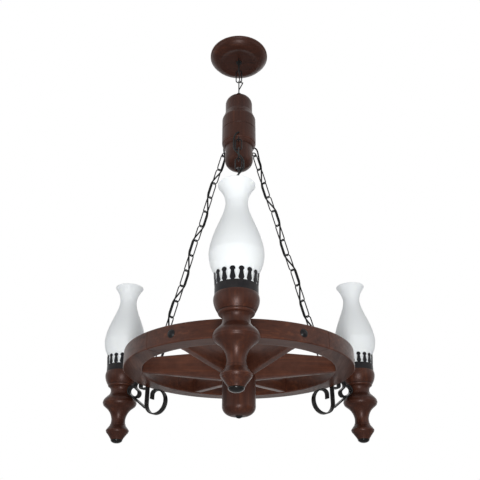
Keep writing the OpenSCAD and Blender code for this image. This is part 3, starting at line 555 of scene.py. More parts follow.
def round_axis_tree() -> RepeatTree:
    """Copies turned about the Z axis, as round a wheel."""
    wheel = RepeatTree("round_axis", {
        "Count": "NodeSocketInt", "First": "NodeSocketFloat", "Step": "NodeSocketFloat"})
    line = wheel.node("GeometryNodeMeshLine", mode="OFFSET")
    line.inputs["Offset"].default_value = (0, 0, 0)
    wheel.link(wheel.inlet.outputs["Count"], line.inputs["Count"])
    copies = wheel.node("GeometryNodeInstanceOnPoints")
    wheel.link(line.outputs[0], copies.inputs["Points"])
    wheel.link(wheel.inlet.outputs["Geometry"], copies.inputs["Instance"])
    turn = wheel.index_times(wheel.inlet.outputs["Step"], wheel.inlet.outputs["First"])
    wheel.link(turn, copies.inputs["Rotation"])
    wheel.close(copies.outputs[0])
    return wheel


# ---------------------------------------------------------------- shader groups


class ShaderGroup:
    """A shader node group with named inputs and outputs, built once and used by several finishes."""

    def __init__(self, name: str, inputs: dict[str, object], outputs: dict[str, str]) -> None:
        """Opens a group.

        Args:
            name: Name of the group.
            inputs: First value of each input; a 3-tuple is a vector, a 4-tuple a colour.
            outputs: Socket type of each output.
        """
        self.tree = bpy.data.node_groups.new(name, "ShaderNodeTree")
        for title, value in inputs.items():
            kind = "NodeSocketFloat"
            if isinstance(value, tuple):
                kind = "NodeSocketColor" if len(value) == 4 else "NodeSocketVector"
            socket = self.tree.interface.new_socket(title, in_out="INPUT", socket_type=kind)
            socket.default_value = value
        for title, kind in outputs.items():
            self.tree.interface.new_socket(title, in_out="OUTPUT", socket_type=kind)
        self.inlet = self.tree.nodes.new("NodeGroupInput")
        self.outlet = self.tree.nodes.new("NodeGroupOutput")

    def node(self, kind: str, **settings: object) -> bpy.types.Node:
        """Adds a node and sets its options."""
        made = self.tree.nodes.new(kind)
        for option, value in settings.items():
            setattr(made, option, value)
        return made

    def link(self, out: bpy.types.NodeSocket, into: bpy.types.NodeSocket) -> None:
        """Joins two sockets."""
        self.tree.links.new(out, into)

    def maths(self, operation: str, *values: object) -> bpy.types.NodeSocket:
        """A maths node on sockets and numbers, clamped where its name ends in an exclamation mark."""
        made = self.node("ShaderNodeMath", operation=operation.rstrip("!"), use_clamp=operation.endswith("!"))
        for socket, value in zip(made.inputs, values):
            if isinstance(value, (int, float)):
                socket.default_value = value
            else:
                self.link(value, socket)
        return made.outputs[0]

    def stretched(self, scale: tuple[float, float, float]) -> bpy.types.NodeSocket:
        """The group's Vector, scaled along its axes."""
        made = self.node("ShaderNodeVectorMath", operation="MULTIPLY")
        made.inputs[1].default_value = scale
        self.link(self.inlet.outputs["Vector"], made.inputs[0])
        return made.outputs[0]

    def noise(self, vector: bpy.types.NodeSocket, scale: float, detail: float = 4.0, rough: float = 0.5,
              warp: float = 0.0) -> bpy.types.NodeSocket:
        """A noise texture's value.

        Args:
            vector: Where it is read.
            scale: Size of the pattern, per metre.
            detail: Octaves.
            rough: Weight of the finer octaves.
            warp: Distortion.

        Returns:
            The value, about 0.5 on average.
        """
        made = self.node("ShaderNodeTexNoise")
        made.inputs["Scale"].default_value = scale
        made.inputs["Detail"].default_value = detail
        made.inputs["Roughness"].default_value = rough
        made.inputs["Distortion"].default_value = warp
        self.link(vector, made.inputs["Vector"])
        return made.outputs["Fac"]

    def span(self, value: bpy.types.NodeSocket, low: float, high: float, to_low: float = 0.0,
             to_high: float = 1.0) -> bpy.types.NodeSocket:
        """A value moved smoothly from one range to another and held at its ends."""
        made = self.node("ShaderNodeMapRange", interpolation_type="SMOOTHSTEP", clamp=True)
        for title, number in (("From Min", low), ("From Max", high), ("To Min", to_low), ("To Max", to_high)):
            made.inputs[title].default_value = number
        self.link(value, made.inputs["Value"])
        return made.outputs["Result"]

    def mix(self, factor: bpy.types.NodeSocket, first: object, second: object) -> bpy.types.NodeSocket:
        """A colour between two others."""
        made = self.node("ShaderNodeMix", data_type="RGBA", clamp_factor=True)
        self.link(factor, made.inputs["Factor"])
        for index, value in ((6, first), (7, second)):
            if isinstance(value, tuple):
                made.inputs[index].default_value = value
            else:
                self.link(value, made.inputs[index])
        return made.outputs[2]

    def give(self, **results: bpy.types.NodeSocket) -> None:
        """Joins results to the group's outputs."""
        for title, socket in results.items():
            self.link(socket, self.outlet.inputs[title])


def grain_group() -> ShaderGroup:
    """Streaks, figure and pores of stained wood whose grain runs along its local Z."""
    group = ShaderGroup(
        "wood_grain",
        {"Vector": (0.0, 0.0, 0.0), "Dark": (0.0, 0.0, 0.0, 1.0), "Mid": (0.1, 0.1, 0.1, 1.0),
         "Light": (0.2, 0.2, 0.2, 1.0)},
        {"Colour": "NodeSocketColor", "Roughness": "NodeSocketFloat", "Height": "NodeSocketFloat"})
    streaks = group.noise(group.stretched((1, 1, 0.05)), 150, 9, 0.62, 0.3)
    figure = group.noise(group.stretched((1, 1, 0.16)), 26, 5, 0.55, 1.2)
    mottle = group.noise(group.inlet.outputs["Vector"], 14, 3, 0.5)
    pores = group.span(group.noise(group.stretched((1, 1, 0.035)), 900, 3, 0.6), 0.6, 0.72)
    tone = group.maths("MULTIPLY_ADD", streaks, 0.5, group.maths(
        "MULTIPLY_ADD", figure, 0.34, group.maths("MULTIPLY", mottle, 0.16)))
    low = group.mix(group.span(tone, 0.36, 0.5), group.inlet.outputs["Dark"], group.inlet.outputs["Mid"])
    full = group.mix(group.span(tone, 0.5, 0.64), low, group.inlet.outputs["Light"])
    pored = group.mix(group.maths("MULTIPLY", pores, 0.55), full, group.inlet.outputs["Dark"])
    rough = group.span(tone, 0.3, 0.7, 0.42, 0.31)
    height = group.maths("SUBTRACT", group.maths("MULTIPLY", streaks, 0.6),
                         group.maths("MULTIPLY", pores, 0.5))
    group.give(Colour=pored, Roughness=rough, Height=height)
    return group


def wear_and_highlight_group() -> ShaderGroup:
    """Colour from a piece's relief: lighter on ridges, from edge wearing and as a painted highlight, and
    darker in grooves and creases.
    """
    group = ShaderGroup(
        "ridge_and_groove_wear",
        {"Vector": (0.0, 0.0, 0.0), "Colour": (0.1, 0.1, 0.1, 1.0), "Rubbed": (0.3, 0.3, 0.3, 1.0),
         "Gathered": (0.01, 0.01, 0.01, 1.0), "Relief": 0.0, "Amount": 0.5},
        {"Colour": "NodeSocketColor", "Ridge": "NodeSocketFloat"})
    patchy = group.span(group.noise(group.inlet.outputs["Vector"], 60, 5, 0.6), 0.35, 0.65, 0.35, 1.0)
    relief = group.inlet.outputs["Relief"]
    amount = group.inlet.outputs["Amount"]
    # Ridges take the lighter colour: partly edge wearing, partly a painted highlight along the edges.
    ridge = group.maths("MULTIPLY", group.maths("MULTIPLY!", group.span(relief, 0.15, 1.0), amount), patchy)
    # Grooves and creases take the darker groove colour.
    groove = group.maths("MULTIPLY!", group.span(group.maths("MULTIPLY", relief, -1.0), 0.12, 0.9), 0.8)
    worn_and_highlit = group.mix(ridge, group.inlet.outputs["Colour"], group.inlet.outputs["Rubbed"])
    group.give(Colour=group.mix(groove, worn_and_highlit, group.inlet.outputs["Gathered"]), Ridge=ridge)
    return group


def film_group() -> ShaderGroup:
    """The slight orange peel, smears and dust of a sprayed or moulded surface."""
    group = ShaderGroup(
        "surface_film",
        {"Vector": (0.0, 0.0, 0.0), "Colour": (0.1, 0.1, 0.1, 1.0), "Dust": (0.3, 0.3, 0.3, 1.0),
         "Scale": 1.0, "Dusty": 0.1, "Smooth": 0.3, "Rough": 0.5},
        {"Colour": "NodeSocketColor", "Roughness": "NodeSocketFloat", "Height": "NodeSocketFloat"})
    scaled = group.node("ShaderNodeVectorMath", operation="SCALE")
    group.link(group.inlet.outputs["Vector"], scaled.inputs[0])
    group.link(group.inlet.outputs["Scale"], scaled.inputs["Scale"])
    peel = group.noise(scaled.outputs[0], 420, 3, 0.5)
    smears = group.noise(scaled.outputs[0], 34, 5, 0.6, 0.4)
    specks = group.span(group.noise(scaled.outputs[0], 900, 2, 0.5), 0.62, 0.74)
    dust = group.maths("MULTIPLY!", group.maths("MULTIPLY_ADD", specks, 0.6, group.span(smears, 0.45, 0.75)),
                       group.inlet.outputs["Dusty"])
    span = group.maths("SUBTRACT", group.inlet.outputs["Rough"], group.inlet.outputs["Smooth"])
    rough = group.maths("MULTIPLY_ADD", group.span(smears, 0.3, 0.7), span, group.inlet.outputs["Smooth"])
    height = group.maths("MULTIPLY_ADD", peel, 0.7, group.maths("MULTIPLY", smears, 0.6))
    group.give(Colour=group.mix(dust, group.inlet.outputs["Colour"], group.inlet.outputs["Dust"]),
               Roughness=rough, Height=height)
    return group


# ---------------------------------------------------------------- finishes


@dataclass
class FinishShop:
    """Makes materials from the shared groups."""

    grain: ShaderGroup = field(default_factory=grain_group)
    wear: ShaderGroup = field(default_factory=wear_and_highlight_group)
    film: ShaderGroup = field(default_factory=film_group)

    def open(self, name: str) -> tuple[bpy.types.Material, bpy.types.Node]:
        """A new material and its surface shader."""
        material = bpy.data.materials.new(name)
        material.use_nodes = True
        return material, material.node_tree.nodes["Principled BSDF"]

    def place(self, material: bpy.types.Material, group: ShaderGroup, vector: bpy.types.NodeSocket,
              **values: object) -> bpy.types.Node:
        """Puts a group in a material with its own values."""
        node = material.node_tree.nodes.new("ShaderNodeGroup")
        node.node_tree = group.tree
        material.node_tree.links.new(vector, node.inputs["Vector"])
        for title, value in values.items():
            if isinstance(value, bpy.types.NodeSocket):
                material.node_tree.links.new(value, node.inputs[title])
            else:
                node.inputs[title].default_value = value if isinstance(value, float) else (*value, 1.0)
        return node

    def vector(self, material: bpy.types.Material, turn: Sequence[float] = (0, 0, 0),
               shift: Sequence[float] = (0, 0, 0)) -> bpy.types.NodeSocket:
        """Object coordinates, turned and shifted for one piece of stock."""
        tree = material.node_tree
        coordinates = tree.nodes.new("ShaderNodeTexCoord")
        mapping = tree.nodes.new("ShaderNodeMapping")
        mapping.inputs["Rotation"].default_value = turn
        mapping.inputs["Location"].default_value = shift
        tree.links.new(coordinates.outputs["Object"], mapping.inputs["Vector"])
        return mapping.outputs[0]

    def relief(self, material: bpy.types.Material) -> bpy.types.NodeSocket:
        """The piece's relief attribute."""
        node = material.node_tree.nodes.new("ShaderNodeAttribute")
        node.attribute_name = "relief"
        return node.outputs["Fac"]

    def bump(self, material: bpy.types.Material, height: bpy.types.NodeSocket, shader: bpy.types.Node,
             strength: float, distance: float) -> None:
        """Joins a height to the shader's normal."""
        node = material.node_tree.nodes.new("ShaderNodeBump")
        node.inputs["Strength"].default_value = strength
        node.inputs["Distance"].default_value = distance
        material.node_tree.links.new(height, node.inputs["Height"])
        material.node_tree.links.new(node.outputs[0], shader.inputs["Normal"])


@dataclass(frozen=True)
class VarnishedWood:
    """Dark stained hardwood under a satin varnish."""

    name: str
    grain_along: tuple[float, float, float] = (0.0, 0.0, 1.0)
    shift: tuple[float, float, float] = (0.0, 0.0, 0.0)
    dark: Colour = (0.020, 0.0065, 0.004)
    mid: Colour = (0.038, 0.012, 0.007)
    light: Colour = (0.066, 0.021, 0.0105)
    # Lighter colour for ridges: partly bare wood where the stain wore away, partly a painted highlight.
    rubbed: Colour = (0.12, 0.045, 0.028)
    gathered: Colour = (0.008, 0.003, 0.002)
    glint: Colour = (1.0, 0.8, 0.77)
    specular: float = 0.23
    wear: float = 0.3
    bump: float = 0.35
    bump_depth: float = 0.0004

    def make(self, shop: FinishShop) -> bpy.types.Material:
        """Builds the material."""
        material, shader = shop.open(self.name)
        turn = Vector(self.grain_along).rotation_difference(Vector((0, 0, 1))).to_euler()
        vector = shop.vector(material, turn, self.shift)
        grain = shop.place(material, shop.grain, vector, Dark=self.dark, Mid=self.mid, Light=self.light)
        worn_and_highlit = shop.place(material, shop.wear, vector, Colour=grain.outputs["Colour"], Rubbed=self.rubbed,
                          Gathered=self.gathered, Relief=shop.relief(material), Amount=self.wear)
        links = material.node_tree.links
        links.new(worn_and_highlit.outputs["Colour"], shader.inputs["Base Color"])
        links.new(grain.outputs["Roughness"], shader.inputs["Roughness"])
        shader.inputs["Specular IOR Level"].default_value = self.specular
        shader.inputs["Specular Tint"].default_value = (*self.glint, 1.0)
        shop.bump(material, grain.outputs["Height"], shader, self.bump, self.bump_depth)
        return material


@dataclass(frozen=True)
class FilmFinish:
    """A painted, plated, moulded or blown surface: one colour with its film and smears, lighter on ridges
    from edge wearing and a painted highlight.
    """

    name: str
    colour: Colour
    dust: Colour = (0.35, 0.34, 0.32)
    # Lighter colour for ridges: partly bare stock where the film wore away, partly a painted highlight.
    rubbed: Colour = (0.12, 0.10, 0.085)
    gathered: Colour = (0.004, 0.004, 0.004)
    dusty: float = 0.08
    smooth: float = 0.3
    rough: float = 0.5
    scale: float = 1.0
    wear: float = 0.0
    metallic: float = 0.0
    specular: float = 0.5
    coat: float = 0.0
    coat_rough: float = 0.1
    scatter: float = 0.0
    scatter_radius: tuple[float, float, float] = (0.006, 0.006, 0.007)
    bump: float = 0.2
    bump_depth: float = 0.0003

    def make(self, shop: FinishShop) -> bpy.types.Material:
        """Builds the material."""
        material, shader = shop.open(self.name)
        vector = shop.vector(material)
        film = shop.place(material, shop.film, vector, Colour=self.colour, Dust=self.dust, Scale=self.scale,
                          Dusty=self.dusty, Smooth=self.smooth, Rough=self.rough)
        links = material.node_tree.links
        worn_and_highlit = shop.place(material, shop.wear, vector, Colour=film.outputs["Colour"], Rubbed=self.rubbed,
                          Gathered=self.gathered, Relief=shop.relief(material), Amount=self.wear)
        links.new(worn_and_highlit.outputs["Colour"], shader.inputs["Base Color"])
        links.new(film.outputs["Roughness"], shader.inputs["Roughness"])
        shader.inputs["Metallic"].default_value = self.metallic
        shader.inputs["Specular IOR Level"].default_value = self.specular
        shader.inputs["Coat Weight"].default_value = self.coat
        shader.inputs["Coat Roughness"].default_value = self.coat_rough
        shader.inputs["Subsurface Weight"].default_value = self.scatter
        shader.inputs["Subsurface Radius"].default_value = self.scatter_radius
        shader.inputs["Subsurface Scale"].default_value = 1.0
        shop.bump(material, film.outputs["Height"], shader, self.bump, self.bump_depth)
        return material


@dataclass
class Palette:
    """Every finish of the chandelier."""

    shop: FinishShop = field(default_factory=FinishShop)

    def __post_init__(self) -> None:
        """Makes the materials."""
        make = self._make
        self.turned = make(VarnishedWood("varnished_turning"))
        self.lamp_wood = make(VarnishedWood("varnished_lamp_body", shift=(0.4, 0.2, 0.1)))
        self.canopy_wood = make(VarnishedWood(
            "varnished_canopy", grain_along=(1, 0.1, 0), shift=(0.1, 0.7, 0.3)))
        flat = {"dark": (0.022, 0.007, 0.0042), "mid": (0.048, 0.0155, 0.0085),
                "light": (0.090, 0.029, 0.014)}
        self.felloe_along = [
            make(VarnishedWood("varnished_felloe_x", grain_along=(1, 0, 0), shift=(0.2, 0.5, 0.9), **flat)),
            make(VarnishedWood("varnished_felloe_y", grain_along=(0, 1, 0), shift=(0.8, 0.1, 0.6), **flat))]
        self.spoke_along = []
        for k in range(3):
            a = math.radians(60 * k)
            self.spoke_along.append(make(VarnishedWood(
                f"varnished_spoke_{60 * k}", grain_along=(math.cos(a), math.sin(a), 0),
                shift=(0.3 * k, 0.4, 0.2), **flat)))
        self.dowel = make(VarnishedWood(
            "bare_dowel", dark=(0.22, 0.13, 0.07), mid=(0.36, 0.23, 0.13), light=(0.5, 0.34, 0.2)))
        self.iron = make(FilmFinish(
            "black_iron", (0.008, 0.008, 0.009), wear=0.08, dusty=0.01, specular=0.14, smooth=0.3,
            rough=0.46, bump=0.3))
        self.sheet = make(FilmFinish(
            "black_sheet", (0.006, 0.006, 0.008), wear=0.08, dusty=0.01, specular=0.12, smooth=0.28,
            rough=0.42))
        self.gloss = make(FilmFinish(
            "black_gloss", (0.004, 0.003, 0.003), dusty=0.005, specular=0.2, smooth=0.12, rough=0.2,
            coat=0.06))
        self.lead = make(FilmFinish(
            "black_lead", (0.008, 0.008, 0.008), smooth=0.4, rough=0.6, dusty=0.02, specular=0.15))
        self.opal = make(FilmFinish(
            "opal_glass", (0.84, 0.875, 0.90), dust=(0.80, 0.83, 0.86), rubbed=(0.86, 0.89, 0.91),
            gathered=(0.76, 0.80, 0.83), dusty=0.04, smooth=0.4, rough=0.5, scale=0.4, specular=0.15,
            scatter=0.3, bump=0.02))
        self.bulb = make(FilmFinish(
            "frosted_bulb", (0.86, 0.86, 0.83), dust=(0.7, 0.7, 0.66), smooth=0.3, rough=0.45))
        self.plastic = make(FilmFinish("cream_plastic", (0.74, 0.71, 0.62), smooth=0.3, rough=0.4))
        self.holder = make(FilmFinish("black_moulding", (0.03, 0.03, 0.031), smooth=0.35, rough=0.5))
        self.zinc = make(FilmFinish("zinc_steel", (0.56, 0.57, 0.58), metallic=1.0, smooth=0.28, rough=0.45))
        self.brass = make(FilmFinish("tube_brass", (0.70, 0.52, 0.26), metallic=1.0, smooth=0.25, rough=0.4))

    def _make(self, finish: "VarnishedWood | FilmFinish") -> bpy.types.Material:
        """Builds one finish."""
        return finish.make(self.shop)


# ---------------------------------------------------------------- shared measures


@dataclass
class Layout:
    """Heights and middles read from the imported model, in metres, and shared sizes in millimetres."""

    link_length: float = 47.1
    link_width: float = 18.5
    wire: float = 3.0
    bearing_gap: float = 0.3
    links: int = 14
    chain_eye_ring: float = 5.5

    def __post_init__(self) -> None:
        """Reads the frame."""
        self.wheel_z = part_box("felloe_front")[0].z
        self.pivots = {j["name"]: Vector(j["pos_m"]) for j in frame["joints"] if j["name"].endswith("_swing")}
        low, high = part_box("hub")
        self.hub_low, self.hub_high = low.z, high.z
        self.body_joint_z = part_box("body_upper")[0].z
        self.body_top_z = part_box("body_upper")[1].z
        self.body_low_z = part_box("body_lower")[0].z
        low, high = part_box("chimney_front")
        self.lamp_radius = -(low.y + high.y) / 2
        self.bear = self.wire + self.bearing_gap
        self.link_mid = self.link_length - self.wire
        self.pitch = self.link_mid - self.bear
        low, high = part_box("body_chain_eyes")
        self.body_eye_z = (low.z + high.z) / 2
        self.body_eye_radius = -low.y / MM - self.chain_eye_ring - self.wire / 2
        rim_low, rim_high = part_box("rim_chain_eyes")
        self.rim_eye_radius = -rim_low.y / MM - self.wire / 2
        self.rim_eye_top = rim_high.z
        run = self.rim_eye_radius - self.body_eye_radius
        fall = (self.body_eye_z - self.rim_eye_top) / MM + self.wire / 2
        self.chain_lean = math.atan2(run, fall)

    def at_lamp(self, side: Side) -> Matrix:
        """Place of a lamp's own axes: Z up its centre line, the rim's underside at 0, +X outwards."""
        return side.turn() @ Matrix.Translation((self.lamp_radius, 0, self.wheel_z))

    def in_bracket(self, side: Side, points: Outline) -> list[Vector]:
        """Points given as distance from the wheel's middle and height over its underside, in metres."""
        turn = side.turn()
        lift = Vector((0, 0, self.wheel_z))
        return [turn @ (Vector((x, 0, z)) * MM + lift) for x, z in points]


@dataclass
class Workshop:
    """What every sub-assembly is made with."""

    layout: Layout
    palette: Palette
    link_row: RepeatTree
    round_axis: RepeatTree

    def finish(self, piece: bpy.types.Object, body: str, slot: str, *nodes: str) -> bpy.types.Object:
        """Sets a finished piece on its body, in place of CAD nodes.

        Args:
            piece: The piece.
            body: Name of the body that it rides on.
            slot: The record's material slot; not used.
            nodes: CAD nodes that it stands for.

        Returns:
            The piece.
        """
        if nodes:
            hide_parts(*nodes)
        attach(piece, body)
        LOG.info("%s: %d faces on %s", piece.name, len(piece.data.polygons), body)
        return piece

    def fit(self, name: str, mesh: bpy.types.Mesh, material: bpy.types.Material, slot: str, *nodes: str,
            body: str = Body.PENDANT.value) -> bpy.types.Object:
        """Makes a piece of a mesh and sets it on its body, by default the one that hangs with the wheel."""
        return self.finish(piece_from(name, mesh, material), body, slot, *nodes)


# ---------------------------------------------------------------- sub-assemblies


@dataclass
class Canopy:
    """The turned plate against the ceiling."""

    radius: float = 80.8
    height: float = 24.0
    face: float = 21.5
    hollow_radius: float = 62.0
    hollow_depth: float = 13.0

    def build(self, shop: Workshop) -> None:
        """Makes the canopy."""
        r, h = self.radius, self.height
        lip = r - 22
        side = smooth([(r - 2, -7.5), (r - 4.8, -12), (r - 9.8, -h + 7.2), (r - 15.8, -h + 3.3),
                       (lip, -h + 1),
                       (lip - 4.2, -h), (lip - 8.2, -h + 0.6), (lip - 12.5, -h + 1.6),
                       (lip - 16.5, -self.face - 0.2),
                       (lip - 20, -self.face)])
        rim = [(r - 0.8, 0)] + arc((r - 1.0, -1.0), 1.0, 80, 0, 4) + arc((r - 1.0, -5.2), 1.0, 0, -75, 4)
        inner = [(0, -self.hollow_depth), (self.hollow_radius, -self.hollow_depth), (self.hollow_radius, 0)]
        outline = inner + rim + side + [(0, -self.face)]
        outline.reverse()
        mesh = turned_mesh("turned_canopy", outline, steps=128)
        shop.fit("turned_canopy", mesh, shop.palette.canopy_wood, "varnished_wood", "canopy",
                 body=Body.CEILING.value)


@dataclass
class TopSuspension:
    """The hook, the two links and the eye that the centre body hangs by."""

    collar_top: float = -21.5
    collar: float = 3.0
    collar_radius: float = 8.0
    neck_radius: float = 2.5
    neck: float = 12.0
    ring: float = 10.0
    ring_wire: float = 1.75
    rod_radius: float = 4.0
    eye_collar: float = 4.5

    def hook(self, shop: Workshop) -> None:
        """Makes the hook with its collar, neck and ring."""
        z = self.collar_top - self.collar
        shank = [(0, z - self.neck - 0.4), (self.neck_radius, z - self.neck - 0.4),
                 (self.neck_radius, z - 1.5),
                 (self.neck_radius + 1.5, z)] + arc((self.collar_radius - 1, z + 1), 1, -90, 0, 4) + \
                [(self.collar_radius, self.collar_top), (3, self.collar_top), (3, -0.5), (0, -0.5)]
        ring = swept_mesh("ring", ring_path(self.ring, 64), round_section(self.ring_wire), closed=True,
                          across=Vector((0, 1, 0)))
        centre = Matrix.Translation((0, 0, (z - self.neck - self.ring) * MM))
        centre = centre @ Matrix.Rotation(math.pi / 2, 4, "Z")
        mesh = joined("hook", [turned_mesh("shank", shank, steps=40), placed(ring, centre)])
        shop.finish(piece_from("hook", mesh, shop.palette.iron), Body.CEILING.value, "black_iron",
                    "ceiling_hook")

    def links(self, shop: Workshop) -> None:
        """Makes the two links."""
        layout = shop.layout
        for name, body, pivot, turn in (("upper_link", Body.LINK_1, "link_swing", 0.0),
                                        ("lower_link", Body.LINK_2, "pendant_swing", math.pi / 2)):
            foot = Matrix.Translation(layout.pivots[pivot]) @ Matrix.Rotation(turn, 4, "Z")
            top = foot @ Matrix.Translation((0, 0, layout.link_mid * MM))
            mesh = placed(SideChains.link_mesh(layout), top)
            shop.fit(f"hanging_{name}", mesh, shop.palette.iron, "black_iron", name, body=body.value)

    def body_eye(self, shop: Workshop) -> None:
        """Makes the eye on the centre body, with the rod that it ends."""
        layout = shop.layout
        top = layout.body_top_z / MM
        low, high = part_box("body_eye_bolt")
        ring_z = high.z / MM - layout.chain_eye_ring - layout.wire / 2
        rod = [(0, low.z / MM), (self.rod_radius, low.z / MM), (self.rod_radius, top)] + \
            [(self.eye_collar, top), (self.eye_collar, top + 2.4)] + \
            arc((self.eye_collar - 1.1, top + 2.4), 1.1, 0, 90, 4) + [(0, top + 3.5)]
        ring = swept_mesh("ring", ring_path(layout.chain_eye_ring, 48), round_section(layout.wire / 2),
                          closed=True,
                          across=Vector((0, 1, 0)))
        mesh = joined("body_eye", [turned_mesh("rod", rod, steps=40),
                                   placed(ring, Matrix.Translation((0, 0, ring_z * MM)))])
        shop.fit("body_eye", mesh, shop.palette.iron, "black_iron", "body_eye_bolt")

    def build(self, shop: Workshop) -> None:
        """Makes the whole suspension."""
        self.hook(shop)
        self.links(shop)
        self.body_eye(shop)


@dataclass
class CentreBody:
    """The two turned pieces that hold the wiring."""

    radius: float = SIZES.body_radius
    neck: float = 36.0
    dome: float = 28.0
    tip: float = 30.0
    shoulder: float = 59.0
    bore: float = 4.1
    nut_seat: float = 10.0
    nut_seat_depth: float = 12.0
    groove_z: float = 46.0

    def upper_outline(self, joint: float, top: float) -> Outline:
        """Outside of the upper piece, from its joint to its top."""
        r, n = self.radius, self.neck
        shoulder = top - self.shoulder
        return [(self.bore, joint), (r - 1.6, joint)] + arc((r - 3, joint + 2.2), 2.4, -55, 10, 6) + [
            (r - 0.1, joint + 4.6), (r, joint + 8), (r, joint + 30), (r, joint + self.groove_z - 1.0),
            (r - 0.9, joint + self.groove_z), (r, joint + self.groove_z + 1.0), (r, shoulder - 40)] + \
            smooth([(r, shoulder - 26), (r - 0.6, shoulder - 20), (r - 4.4, shoulder - 11),
                    (n + 1.4, shoulder - 2)]) + \
            [(n + 0.2, shoulder + 0.6), (n, shoulder + 2), (n, top - self.dome - 6)] + \
            quarter(n, top - self.dome, self.dome, 0.0, 20)[:-1] + [(self.bore, top), (self.bore, joint)]

    def lower_outline(self, joint: float, low: float) -> Outline:
        """Outside of the lower piece, from its foot to the joint."""
        r, n = self.radius, self.neck
        foot = [(0.4 * (1 - i / 16) + n * math.cos(math.pi / 2 * i / 16),
                 low + self.tip * (1 - math.sin(math.pi / 2 * i / 16))) for i in range(16, -1, -1)]
        side = smooth([(r - 2.6, joint - 3), (n + 3, joint - 8.5), (n, joint - 12), (n - 0.3, joint - 18),
                       (n + 0.4, joint - 28)])
        side.reverse()
        seat = [(self.bore, low + self.nut_seat_depth), (self.nut_seat, low + self.nut_seat_depth),
                (self.nut_seat, foot[2][1] if foot[0][0] > self.nut_seat else low + 1.3)]
        return seat + [p for p in foot if p[0] > self.nut_seat + 0.5] + side[1:] + [
            (r - 2, joint - 1.6), (r - 2.2, joint), (self.bore, joint),
            (self.bore, low + self.nut_seat_depth)]

    def build(self, shop: Workshop) -> None:
        """Makes both pieces."""
        layout = shop.layout
        joint, top, low = layout.body_joint_z / MM, layout.body_top_z / MM, layout.body_low_z / MM
        for name, outline, node in (("centre_body_upper", self.upper_outline(joint, top), "body_upper"),
                                    ("centre_body_lower", self.lower_outline(joint, low), "body_lower")):
            shop.fit(name, turned_mesh(name, outline[:-1], steps=112), shop.palette.turned, "varnished_wood",
                     node)


